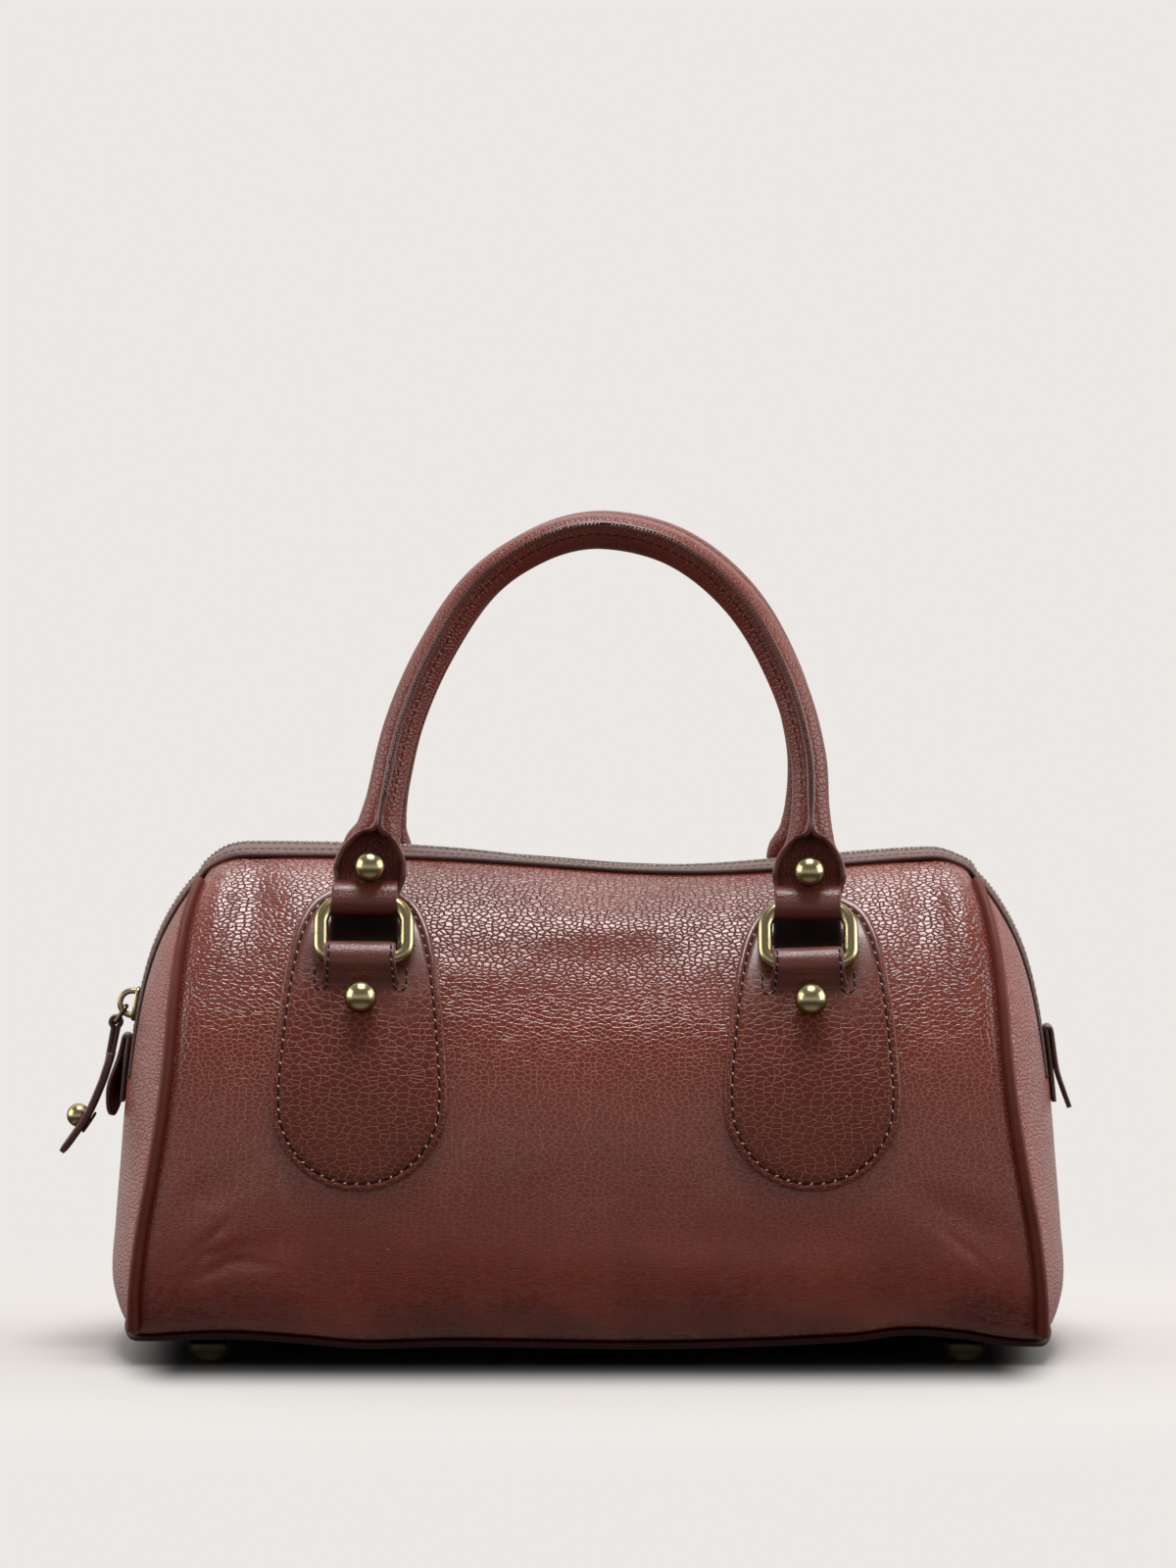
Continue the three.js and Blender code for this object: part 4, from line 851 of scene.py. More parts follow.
def on_slider(along, out, y):
    """A point by the slider: along the zip upward, out of the end, and across the bag."""
    along, out, y = (np.asarray(value, float)[..., None] for value in (along, out, y))
    return slider_seat + along * slider_up + out * slider_out + y * np.array([0, 1.0, 0])


def boxed(wave, power):
    """A cosine or sine drawn out towards -1 and 1 by a power, which squares off a circle."""
    return np.sign(wave) * np.abs(wave) ** power


def ribbon(path, across, half_width, half_thick, power=0.35, sides=36, twist=0.0):
    """A strap along a path: rounded rectangles square to it, their width along a given direction, turned by a
    twist about the path."""
    ahead, behind = np.roll(path, -1, 0), np.roll(path, 1, 0)
    ahead[-1], behind[0] = path[-1], path[0]
    tangent = unit(ahead - behind)
    wide = np.broadcast_to(np.asarray(across, float), path.shape)
    wide = unit(wide - (wide * tangent).sum(-1, keepdims=True) * tangent)
    thick = np.cross(tangent, wide)
    twist = np.broadcast_to(twist, len(path))[:, None]
    wide, thick = wide * np.cos(twist) + thick * np.sin(twist), thick * np.cos(twist) - wide * np.sin(twist)
    angle = np.linspace(0, 2 * np.pi, sides, endpoint=False)
    half_width = np.broadcast_to(half_width, len(path))[:, None, None]
    half_thick = np.broadcast_to(half_thick, len(path))[:, None, None]
    over = half_width * boxed(np.cos(angle), power)[None, :, None] * wide[:, None]
    return path[:, None] + over + half_thick * boxed(np.sin(angle), power)[None, :, None] * thick[:, None]


angle = np.linspace(0, 2 * np.pi, 64, endpoint=False)
pinch = SLIDER_WIDTH / 2 + (SLIDER_NOSE - SLIDER_WIDTH) / 2 * (1 + np.cos(angle)) / 2
deck_along = SLIDER_LENGTH / 2 * boxed(np.cos(angle), 0.7)
deck_across = pinch * boxed(np.sin(angle), 0.55)
# Section of the deck: height, share of its outline
deck_levels = np.array([
    (SLIDER_SEAT, 0.3), (SLIDER_SEAT, 0.9), (SLIDER_SEAT + 0.15, 0.97), (SLIDER_SEAT + 0.4, 1.0),
    (SLIDER_DECK - 0.5, 1.0), (SLIDER_DECK - 0.15, 0.95), (SLIDER_DECK, 0.86), (SLIDER_DECK + 0.1, 0.3)])
level, share = deck_levels[:, :1], deck_levels[:, 1:]
deck = on_slider(share * deck_along, level + 0 * angle, share * deck_across)
rod("slider_deck", deck, aged_brass, ["zip_slider"])
swing = np.linspace(0, np.pi, 48)
root = SLIDER_DECK - BRIDGE_ROOT
arch_out = root + (BRIDGE_TOP - root) * np.sin(swing) ** 0.8
arch = on_slider(BRIDGE_SPAN / 2 * np.cos(swing), arch_out, 0 * swing)
bridge = ribbon(arch, (0, 1, 0), BRIDGE_HALF_WIDTH, BRIDGE_HALF_THICK, 0.6, 24)
rod("slider_bridge", bridge, aged_brass)
turn = np.linspace(0, 2 * np.pi, 72, endpoint=False)
link_share = 0.5 - 0.5 * boxed(np.cos(turn), 0.4)
link_y = LINK_HALF * boxed(np.sin(turn), 0.4)
link_along = LINK_INNER[0] + (LINK_OUTER[0] - LINK_INNER[0]) * link_share
link_out = LINK_INNER[1] + (LINK_OUTER[1] - LINK_INNER[1]) * link_share
link_side = unit(np.cross(on_slider(*LINK_OUTER, 0.0) - on_slider(*LINK_INNER, 0.0), (0, 1.0, 0)))
dark_brass = brass("dark_brass", 0.36, 0.3)
link = tube(on_slider(link_along, link_out, link_y), LINK_WIRE, link_side, 12, True)
piece("link_wire", link, [dark_brass], ["puller_link"], wrap=(True, True))

# Zip puller
# A thick leather strap folded round the link and sewn to itself, cut to a blunt end.
# A ball stud is set through it near the end, with a washer behind.
# Middle line: x, height, half width, half thickness
PULLER_LINE = np.array([
    (-165.1, 101.2, 4.4, 1.35), (-166.6, 96.5, 5.3, 1.4), (-168.6, 90.6, 5.5, 1.4), (-173.5, 79.7, 5.5, 1.4),
    (-179.2, 71.2, 5.4, 1.35), (-181.6, 68.0, 4.4, 1.25), (-182.6, 66.7, 2.6, 0.9),
])
PULLER_STUD_AT, PULLER_STUD_RADIUS, PULLER_STUD_SUNK, WASHER_SUNK = (-174.6, 77.9), 4.1, 0.7, 1.4
EYE_RADIUS, EYE_HALF_WIDTH, EYE_HALF_THICK, EYE_LEG, EYE_JOIN = 1.75, 2.7, 0.8, 0.7, 6
EYE_SWING = (-60, 240)
STUD_RADIUS, STUD_SWING = 5.25, (-52, 88)
# Washers of the studs and of the puller: radius, height
STUD_WASHER = [(0.4, 0), (3.9, 0), (4.1, 0.2), (4.1, 0.45), (3.7, 0.6), (2.95, 0.65)]
PULLER_WASHER = [(0.3, 0), (3.9, 0), (4.2, 0.3), (4.2, 0.7), (3.8, 1.0), (0.3, 1.1)]
STRAP_BROWN = (0.07, 0.02, 0.015)
strap_leather = plain_leather("strap_leather", STRAP_BROWN)


def evenly(table, count):
    """Rows read smoothly from a table at even steps along the line of its first two columns."""
    key = lengths_along(table[:, :2])
    keyed, at = np.column_stack([key, table]), np.linspace(key[0], key[-1], count)
    return np.stack([read(keyed, at, n + 1) for n in range(table.shape[1])], -1)


def ball_stud(name, seat, axis, replaces, neck=0.9, radius=STUD_RADIUS):
    """A ball on a short neck over a thin washer, turned in brass; neck is how far its seat stands out."""
    ball = np.radians(np.linspace(*STUD_SWING, 30))
    centre = neck - radius * np.sin(ball[0])
    profile = STUD_WASHER + [(radius * np.cos(a), centre + radius * np.sin(a)) for a in ball]
    return rod(name, turned(profile, seat, axis), aged_brass, replaces)


strap = evenly(PULLER_LINE, 80)
strap_path = np.stack([strap[:, 0], 0 * strap[:, 0], strap[:, 1]], -1)
rod("puller_strap", ribbon(strap_path, (0, 1, 0), strap[:, 2], strap[:, 3]), strap_leather,
    ["zip_puller"])
eye = on_slider(*LINK_OUTER, 0.0)
swing = np.radians(np.linspace(*EYE_SWING, 40))
eye_turn = eye + EYE_RADIUS * np.stack([np.cos(swing), 0 * swing, np.sin(swing)], -1)
legs = np.linspace(0, 1, 8)[1:, None]
join, apart = strap_path[EYE_JOIN], np.array([EYE_LEG, 0, 0])
eye_path = np.concatenate([(eye_turn[0] + (join + apart - eye_turn[0]) * legs)[::-1], eye_turn,
                           eye_turn[-1] + (join - apart - eye_turn[-1]) * legs])
rod("puller_eye", ribbon(eye_path, (0, 1, 0), EYE_HALF_WIDTH, EYE_HALF_THICK), strap_leather)
strap_fall = unit((PULLER_LINE[4, 0] - PULLER_LINE[3, 0], 0, PULLER_LINE[4, 1] - PULLER_LINE[3, 1]))
strap_out = np.array([strap_fall[2], 0, -strap_fall[0]])
stud_at = np.array([PULLER_STUD_AT[0], 0, PULLER_STUD_AT[1]])
ball_stud("puller_ball", stud_at - PULLER_STUD_SUNK * strap_out, strap_out, ["puller_stud"], 0.0,
          PULLER_STUD_RADIUS)
washer = turned(PULLER_WASHER, stud_at - WASHER_SUNK * strap_out, -strap_out)
rod("puller_washer", washer, dark_brass)

# Zip end tabs
# Folded leather tabs over both ends of the zip. One layer is sewn down, the other hangs loose to a
# leaf-shaped tip, and the left one has twisted and narrowed with use.
TAB_SEAT, TAB_FOOT, TAB_HALF, TAB_HALF_THICK, FOLD_RADIUS = 1.05, 84.5, 7.0, 0.85, 0.9
# Side, fold height, tip height, how far the loose layer stands out half way down and at the tip, twist in
# degrees
TAB_FORMS = {"left": (-1, 107.0, 79.0, 3.8, 4.3, 21.0), "right": (1, 110.0, 81.5, 3.1, 6.4, 0.0)}
TIP_FROM, WAIST_AT, WAIST_REACH, WAIST_SHARE = 0.76, 0.58, 0.12, 0.3
LOWER_SHARE, TWIST_FROM, TWIST_OVER = 0.78, 0.5, 0.35
TAB_BROWN = (0.07, 0.02, 0.0145)
tab_leather = plain_leather("tab_leather", TAB_BROWN)
for name, (side, fold, tip, half_out, tip_out, twist) in TAB_FORMS.items():
    swing = np.linspace(0, np.pi, 9)
    fold_out = TAB_SEAT + FOLD_RADIUS * (1 - np.cos(swing))
    line = np.concatenate([
        [(TAB_FOOT, TAB_SEAT), (NOTCH_LEVEL, TAB_SEAT)],
        np.stack([fold - FOLD_RADIUS * (1 - np.sin(swing)), fold_out], -1),
        [(fold + (tip - fold) * 0.5, half_out),
         (fold + (tip - fold) * LOWER_SHARE, (half_out + tip_out) / 2), (tip, tip_out)],
    ])
    line = evenly(line, 110)
    path = end_point(side, 0.0, line[:, 0]) + line[:, 1:] * end_normal(side, line[:, 0])
    share = np.linspace(0, 1, len(path))
    tip_round = np.sqrt(np.clip(1 - np.maximum((share - TIP_FROM) / (1 - TIP_FROM), 0) ** 2, 0.01, 1))
    waist = WAIST_SHARE * bell(share, WAIST_AT, WAIST_REACH) * (twist > 0)
    leaf = TAB_HALF * (tip_round - waist)
    turning = np.radians(twist) * smooth((share - TWIST_FROM) / TWIST_OVER)
    tab = ribbon(path, (0, 1, 0), leaf, TAB_HALF_THICK, twist=turning)
    rod("end_tab_" + name, tab, tab_leather, ["zip_end_tab_" + name])

# Rings
# Brass rings of round bar, bent to a rectangle with round corners and closed. They lean back against the
# slope of the bag, between the handle's loop and the patch.
# Middle of the ring, middle of its patch, lean of the patch to the side
RING_FORMS = {"left": (-76.2, -77.2, 0.013), "right": (74.8, 75.9, 0.0)}
RING_WIDTH, RING_HEIGHT, RING_HIGH_BEND, RING_LOW_BEND, RING_WIRE = 29.3, 20.5, 8.0, 5.2, 2.5
RING_TILT, RING_LEVEL = np.radians(25), 133.0
PATCH_WALL, GAP = 2.2, 0.3
RING_OFFSET = PATCH_WALL + 3 * GAP + RING_WIRE


def on_panel(side, x, height, above):
    """A point above the front or back panel at a level."""
    s = x / read(SECTIONS, height, SEAM_HALF)
    above = np.asarray(above, float)[..., None] if np.ndim(above) else above
    return panel_point(side, s, height) + above * panel_normal(side, s, height)


def ring_frame(side, x):
    """Middles of a ring's lower and upper bars, and the direction from one to the other."""
    low = on_panel(side, np.array(x), np.array(RING_LEVEL), RING_OFFSET)
    low[0] = x
    up = np.array([0, -side * np.sin(RING_TILT), np.cos(RING_TILT)])
    return low, low + up * RING_HEIGHT, up


quarter = np.linspace(0, np.pi / 2, 14)
# Each corner of a ring in turn: side, up or down, radius
turns = [(1, 1, RING_HIGH_BEND), (-1, 1, RING_HIGH_BEND), (-1, -1, RING_LOW_BEND), (1, -1, RING_LOW_BEND)]
ring_x = np.concatenate([sx * (RING_WIDTH / 2 - bend) + bend * np.cos(quarter + n * np.pi / 2)
                         for n, (sx, sy, bend) in enumerate(turns)])
ring_z = np.concatenate([sy * (RING_HEIGHT / 2 - bend) + bend * np.sin(quarter + n * np.pi / 2)
                         for n, (sx, sy, bend) in enumerate(turns)])
for depth_name, side in SIDES:
    for end_name, (x, _, _) in RING_FORMS.items():
        low, high, up = ring_frame(side, x)
        path = (low + high) / 2 + ring_x[:, None] * np.array([1.0, 0, 0]) + ring_z[:, None] * up
        bar = tube(path, RING_WIRE, np.cross((1, 0, 0), up), 28, True)
        name = depth_name + "_" + end_name
        piece("ring_bar_" + name, bar, [aged_brass], ["ring_" + name], wrap=(True, True))

# Patches
# Teardrop patches of thick leather that carry the rings, sewn down a little inside their edges.
# A tongue on each passes over the ring's lower bar, sewn along both sides, and a ball stud is set below it.
# Outline: height, half width
PATCH_OUTLINE = np.array([
    (60.2, 4), (62, 10.6), (66, 18), (73, 24.7), (82, 28.9), (92, 30), (108, 28.9), (123, 27.2), (135, 25),
    (145, 21.8), (151.5, 17), (155.5, 9.5),
])
PATCH_MIDDLE, PATCH_STITCH, PATCH_AROUND = 110.0, 2.7, 260
# Section from the edge inward: distance in, height above the panel as a share of the wall
PATCH_EDGE = np.array([
    (0.35, 0.0), (0.08, 0.12), (0.0, 0.35), (0.05, 0.6), (0.25, 0.82), (0.6, 0.95), (1.2, 1.02), (1.8, 0.99),
    (2.3, 0.88), (PATCH_STITCH, 0.78), (3.1, 0.88), (3.7, 1.0), (4.6, 1.06), (6.5, 1.08), (9.0, 1.08),
])
PATCH_SWELL, PATCH_STITCH_SEAT = 1.08, 0.84
PATCH_FILL, PATCH_UNDER, PATCH_POLE = 26, 12, 0.004
TONGUE_WALL, TONGUE_TOP, TONGUE_FLARE = 1.9, 12.0, 13.6
TONGUE_SHIFT = {"left": -1.0, "right": 0.0}
# Middle of the tongue's section below the ring: along the panel from the bar, above the panel
TONGUE_FOOT = np.array([(-7.9, 2.4), (-7.2, 2.6), (-6.5, 2.95), (-5.7, 3.5), (-5.0, 4.4)])
TONGUE_TUCK = [(4.0, 3.2), (4.2, 2.0)]
TONGUE_SWING, TONGUE_POINTS, TONGUE_SEWN = (165, -20), 90, slice(4, 58)
# Distances below the bar over which the tongue widens and rounds off, and where its end is thinned
WIDEN_FROM, WIDEN_OVER, ROUND_FROM, ROUND_OVER, ROUND_SHARE = 2.0, 5.9, 5.6, 2.4, 0.22
THIN_SHARE, THIN_OVER = 0.35, 3.0
TONGUE_STITCH_IN, HOOK_HALF, HOOK_DROP, HOOK_RISE = 1.5, 2.1, 1.6, 4.5
# The tongue's return behind the ring: heights above the ring's level, half width, raise and wall. It is
# near-black, painted shade for the dark window inside the ring.
LINING_FROM, LINING_TO, LINING_HALF, LINING_RAISE, LINING_WALL = 2.5, 17.0, 11.4, 0.7, 0.6
STUD_LEVEL, PATCH_STUD_NECK, PATCH_STUD_RADIUS = 121.4, 0.9, 5.5
PATCH_COGNAC = (0.139, 0.0238, 0.0137)
TONGUE_BROWN = (0.11, 0.022, 0.0135)
WINDOW_SHADE_BLACK = (0.010, 0.005, 0.004)
# Pale specks painted on the stitches as glints on the thread, dimmer on the tongue
THREAD_GLINT, GLINT_DIM_SHARE = (0.72, 0.52, 0.42), 0.35
# The patch lies wholly below the heights given for wear, so its dye is painted darker as shade all over and
# its crease lips are painted pale as highlights
patch_leather = leather("patch_leather", PATCH_COGNAC, cell=(3.3, 1.9), depth=0.24, pebble=0.8, shine=0.3,
                        groove=0.18, fade=(136, 118), wear_and_painted_light=(200, 210), satin=(118, 134, 0.75))
tongue_leather = leather("tongue_leather", TONGUE_BROWN, cell=(1.8, 1.5), depth=0.09, rough=0.34, pebble=0.4)
# Near-black leather for the tongue's return: painted shade in the ring's window
window_shade_leather = leather("window_shade_leather", WINDOW_SHADE_BLACK, cell=(1.2, 1.0), depth=0.05, rough=0.8, pebble=0.3,
                      shine=0.1)
thread_glint = thread("thread_glint", THREAD_GLINT)
dim_thread_glint = thread("dim_thread_glint", dyed(THREAD_GLINT, GLINT_DIM_SHARE))

foot, toe, shoulder, top = PATCH_OUTLINE[[0, 2, -3, -1], 0]
heights = np.concatenate([np.linspace(foot, toe, 40), np.linspace(toe, shoulder, 120)[1:],
                          np.linspace(shoulder, top, 30)[1:]])
half = read(PATCH_OUTLINE, heights)
loop = np.concatenate([np.stack([half, heights], -1), np.stack([-half, heights], -1)[::-1]])
loop = np.concatenate([loop, loop[:1]])
reach = lengths_along(loop)
even = np.linspace(0, reach[-1], PATCH_AROUND, endpoint=False)
patch_rim = np.stack([np.interp(even, reach, loop[:, 0]), np.interp(even, reach, loop[:, 1])], -1)
kernel = np.array([1, 2, 3, 2, 1]) / 9
patch_rim = sum(weight * np.roll(patch_rim, n - 2, 0) for n, weight in enumerate(kernel))
rim_run = unit(np.roll(patch_rim, -1, 0) - np.roll(patch_rim, 1, 0))
rim_in = np.stack([-rim_run[:, 1], rim_run[:, 0]], -1)
inner_ring = patch_rim + PATCH_EDGE[-1, 0] * rim_in
patch_core = np.array([0.0, PATCH_MIDDLE])
fill = np.linspace(1, PATCH_POLE, PATCH_FILL)[1:, None, None]
under = np.linspace(0.985, PATCH_POLE, PATCH_UNDER)[:, None, None]
# Rings from the middle of the face out to the rim, over the edge, and under the patch to its middle again
patch_flat = np.concatenate([
    (patch_core + fill * (inner_ring - patch_core))[::-1],
    (patch_rim + PATCH_EDGE[:, :1, None] * rim_in)[::-1],
    patch_core + under * (patch_rim - patch_core),
])
patch_above = np.concatenate([
    np.full(len(fill), GAP + PATCH_WALL * PATCH_SWELL), GAP + PATCH_WALL * PATCH_EDGE[::-1, 1],
    np.full(PATCH_UNDER, GAP)])
tongue_bend = RING_WIRE + GAP + TONGUE_WALL / 2
swing = np.radians(np.linspace(*TONGUE_SWING, 30))
tongue_turn = np.stack([tongue_bend * np.cos(swing), RING_OFFSET + tongue_bend * np.sin(swing)], -1)
tongue_line = evenly(np.concatenate([TONGUE_FOOT, tongue_turn, TONGUE_TUCK]), TONGUE_POINTS)
along, above = tongue_line[:, :1], tongue_line[:, 1:]
run = unit(np.gradient(tongue_line, axis=0))
end_share = np.clip((-along - ROUND_FROM) / ROUND_OVER, 0, 1)
flare = smooth((-along - WIDEN_FROM) / WIDEN_OVER)
tongue_half = (TONGUE_TOP + (TONGUE_FLARE - TONGUE_TOP) * flare) * (1 - ROUND_SHARE * end_share ** 3)
thick = TONGUE_WALL * (THIN_SHARE + (1 - THIN_SHARE) * smooth((along - TONGUE_FOOT[0, 0]) / THIN_OVER))
angle = np.linspace(0, 2 * np.pi, 72, endpoint=False)
over, through = boxed(np.cos(angle), 0.25), boxed(np.sin(angle), 0.6)
tongue_along = (along - thick / 2 * run[:, 1:] * through) * np.cos(RING_TILT)
tongue_above = above + thick / 2 * run[:, :1] * through
# The sewn line on the tongue's face, from the ring down, then a hook round its corner on to the patch
face = np.concatenate([along - thick / 2 * run[:, 1:], above + thick / 2 * run[:, :1]], 1)[TONGUE_SEWN][::-1]
face_run = run[TONGUE_SEWN][::-1]
bend = np.linspace(0, np.pi, 12)
hook_level = RING_LEVEL + face[-1, 0] * np.cos(RING_TILT) - HOOK_DROP * np.sin(bend)
rise_level = hook_level[-1] + np.linspace(0, HOOK_RISE, 6)
sewn_level = np.concatenate([RING_LEVEL + face[:, 0] * np.cos(RING_TILT), hook_level, rise_level])
on_patch = len(bend) + len(rise_level)
sewn_above = np.concatenate([face[:, 1], np.full(on_patch, GAP + PATCH_WALL * 1.1)])
face_up = np.concatenate([-face_run[:, 1:], np.zeros((on_patch, 1))])
face_out = np.concatenate([face_run[:, :1], np.ones((on_patch, 1))])


def panel_upright(side, x, height):
    """Outward normal of the front or back panel at a place and level."""
    return panel_normal(side, x / read(SECTIONS, height, SEAM_HALF), height)


for depth_name, side in SIDES:
    ring_up = np.array([0, -side * np.sin(RING_TILT), np.cos(RING_TILT)])
    for end_name, (x, patch_x, lean) in RING_FORMS.items():
        name = depth_name + "_" + end_name
        middle = patch_x + lean * (patch_flat[..., 1] - PATCH_MIDDLE)
        plate_above = np.broadcast_to(patch_above[:, None], middle.shape)
        plate = on_panel(side, middle + patch_flat[..., 0], patch_flat[..., 1], plate_above)
        rod("ring_patch_" + name, plate, patch_leather, ["patch_" + name], flat=patch_flat)
        sewn = patch_rim + PATCH_STITCH * rim_in
        sewn = np.concatenate([sewn, sewn[:1]])
        sewn_x = patch_x + lean * (sewn[:, 1] - PATCH_MIDDLE) + sewn[:, 0]
        seam = on_panel(side, sewn_x, sewn[:, 1], np.full(len(sewn), GAP + PATCH_WALL * PATCH_STITCH_SEAT))
        out = panel_upright(side, sewn_x, sewn[:, 1])
        stitch_row("patch_seam_" + name, seam, out, [dark_thread, thread_glint])
        # The tongue's return lies on the patch behind the ring, coloured near-black as painted shade in the
        # ring's window
        back_x, back_level = np.meshgrid(x + np.linspace(-LINING_HALF, LINING_HALF, 20),
                                         RING_LEVEL + np.linspace(LINING_FROM, LINING_TO, 24))
        back_above = np.full(back_x.shape, GAP + PATCH_WALL * PATCH_SWELL + LINING_RAISE)
        back = on_panel(side, back_x, back_level, back_above)
        piece("tongue_back_" + name, back, [window_shade_leather], inside=BAG_CORE, wall=LINING_WALL)
        tongue_x = x + TONGUE_SHIFT[end_name]
        tongue = on_panel(side, tongue_x + tongue_half * over, RING_LEVEL + tongue_along, tongue_above)
        rod("tongue_" + name, tongue, tongue_leather)
        for edge_name, edge_side in ENDS:
            face_x = tongue_x + edge_side * (TONGUE_TOP - TONGUE_STITCH_IN + smooth(-face[:, 0] / 9))
            hook_x = face_x[-1] + edge_side * HOOK_HALF * (1 - np.cos(bend))
            sewn_x = np.concatenate([face_x, hook_x, np.full(len(rise_level), hook_x[-1])])
            seam = on_panel(side, sewn_x, sewn_level, sewn_above)
            out = panel_upright(side, sewn_x, sewn_level) * face_out + face_up * ring_up
            sewn_name = "tongue_seam_%s_%s" % (name, edge_name)
            stitch_row(sewn_name, seam, out, [dark_thread, dim_thread_glint], 2.9, 0.32)
        stud_x = np.array((x + patch_x) / 2)
        seat = on_panel(side, stud_x, np.array(STUD_LEVEL), PATCH_WALL + 2 * GAP)
        axis = panel_upright(side, stud_x, np.array(STUD_LEVEL))
        ball_stud("patch_ball_" + name, seat, axis, ["patch_stud_" + name], PATCH_STUD_NECK,
                  PATCH_STUD_RADIUS)

# Handles
# A strip of leather rolled round a cord, one edge lapped over the other and sewn along the front. At each
# end the roll opens into a trough, and the strap in it runs round the ring's upper bar and is held by a stud.
# Middle line seen from the front: x, height
HANDLE_LINE = np.array([
    (-74.2, 168), (-69.8, 189.5), (-63.7, 216), (-52.7, 241.3), (-37, 264), (-15.5, 278.3), (5, 282.4),
    (30.6, 276), (52.5, 258), (67.7, 232), (75, 207), (75.9, 186), (75.4, 168),
])
HANDLE_LEAN, HANDLE_LOOP = 0.19, 4.7
HANDLE_SWAY = {-1: 0.0, 1: 1.6}
# The opening end, from the loop's foot: along, half width, half thickness, squareness, how far round the
# edges reach in degrees, height of the lap
HANDLE_END = np.array([
    (6, 11.2, 3.4, 0.8, 84, 0), (10, 11.6, 3.9, 0.75, 86, 0), (15.3, 12.5, 4.6, 0.6, 91, 0),
    (20, 11.8, 5.2, 0.45, 97, 0), (23, 10.3, 5.7, 0.3, 106, 0), (25.5, 8.9, 6.0, 0.2, 121, 0),
    (27.8, 8.1, 6.2, 0.1, 143, 0.2), (29.4, 7.9, 6.3, 0.05, 163, 0.6), (31, 7.5, 6.3, 0, 169, 0.9),
    (36, 6.8, 6.2, 0, 173, 1.1), (42, 6.3, 6.1, 0, 175, 1.2), (60, 6.1, 6.1, 0, 175, 1.2),
])
SEAM_TURN, SEAM_FROM, SEAM_BLEND = 11.0, 33, 140
SEAM_BESIDE, SEAM_RADIUS = 30, 6.6
ROLL_WALL, ROLL_AROUND, ROLL_STEPS, ROLL_EVEN, ROLL_SQUARE = 2.0, 62, 320, 0.6, 0.62
LAP_SHARE, LAP_FULL, LAP_TIP, LAP_FROM, LAP_CURVE = 0.06, 1.2, 0.25, 118.0, 1.6
# The strap in the trough: along, out of the handle's plane
STRAP_LINE = np.array([
    (13.6, -3.6), (12.6, -3.2), (11.9, -2.3), (11.2, -0.9), (10.4, 0.6), (9.3, 1.95), (8.1, 2.8), (6.9, 3.25),
])
STRAP_TUCK = [(8.5, -3.3), (12, -3.2)]
STRAP_HALF, STRAP_HALF_THICK, STRAP_LEAN, STRAP_SWING = 11.2, 0.95, 0.35, (72, 325)
HANDLE_STUD, HANDLE_STUD_NECK = (16.3, -2.2), 2.1
ROLL_COGNAC = (0.142, 0.0215, 0.0118)
FLESH_SIDE = (0.15, 0.03, 0.0195)
PAINTED_EDGE = (0.10, 0.023, 0.015)
BROWN_THREAD = (0.02, 0.0065, 0.005)
roll_leather = leather("roll_leather", ROLL_COGNAC, cell=(2.4, 1.6), depth=0.15, rough=0.3, pebble=0.75,
                       shine=0.34, groove=0.25)
inside_leather = leather("inside_leather", FLESH_SIDE, cell=(1.5, 3.2), depth=0.2, rough=0.5, shine=0.3)
edge_paint = leather("edge_paint", PAINTED_EDGE, cell=(3.0, 0.7), depth=0.05, rough=0.3, pebble=0.3,
                     shine=0.6)
brown_thread = thread("brown_thread", BROWN_THREAD, 0.6)


def handle_line(side):
    """Middle line of a handle from loop to loop, as rows of length and point."""
    bars = [ring_frame(side, form[0])[1] for form in RING_FORMS.values()]
    level, crest = bars[0][2], HANDLE_LINE[:, 1].max()
    shift = HANDLE_SWAY[side] * smooth((HANDLE_LINE[:, 1] - level) / (crest - level))
    back = bars[0][1] - side * (HANDLE_LINE[:, 1] - level) * HANDLE_LEAN
    line = np.stack([HANDLE_LINE[:, 0] + shift, back, HANDLE_LINE[:, 1]], -1)
    foot = np.array([0, side * HANDLE_LOOP * HANDLE_LEAN, -HANDLE_LOOP])
    line = np.concatenate([[bars[0] + foot, bars[0]], line, [bars[1], bars[1] + foot]])
    return np.column_stack([lengths_along(line), line])


def on_handle(table, side, t, across, out):
    """A point by a handle: t along its middle line, then across it and out of its plane."""
    place = np.stack([read(table, t, n) for n in (1, 2, 3)], -1)
    tangent = unit(np.stack([read(table, t + 0.5, n) - read(table, t - 0.5, n) for n in (1, 2, 3)], -1))
    front = unit((0, side, HANDLE_LEAN))
    wide = unit(np.cross(front, tangent))
    return place + np.asarray(across)[..., None] * wide + np.asarray(out)[..., None] * front


def seam_turn(near):
    """Angle by which the lap moves outward from the front, from none at the ends to most at the top."""
    return np.radians(SEAM_TURN) * smooth((near - SEAM_FROM) / SEAM_BLEND)


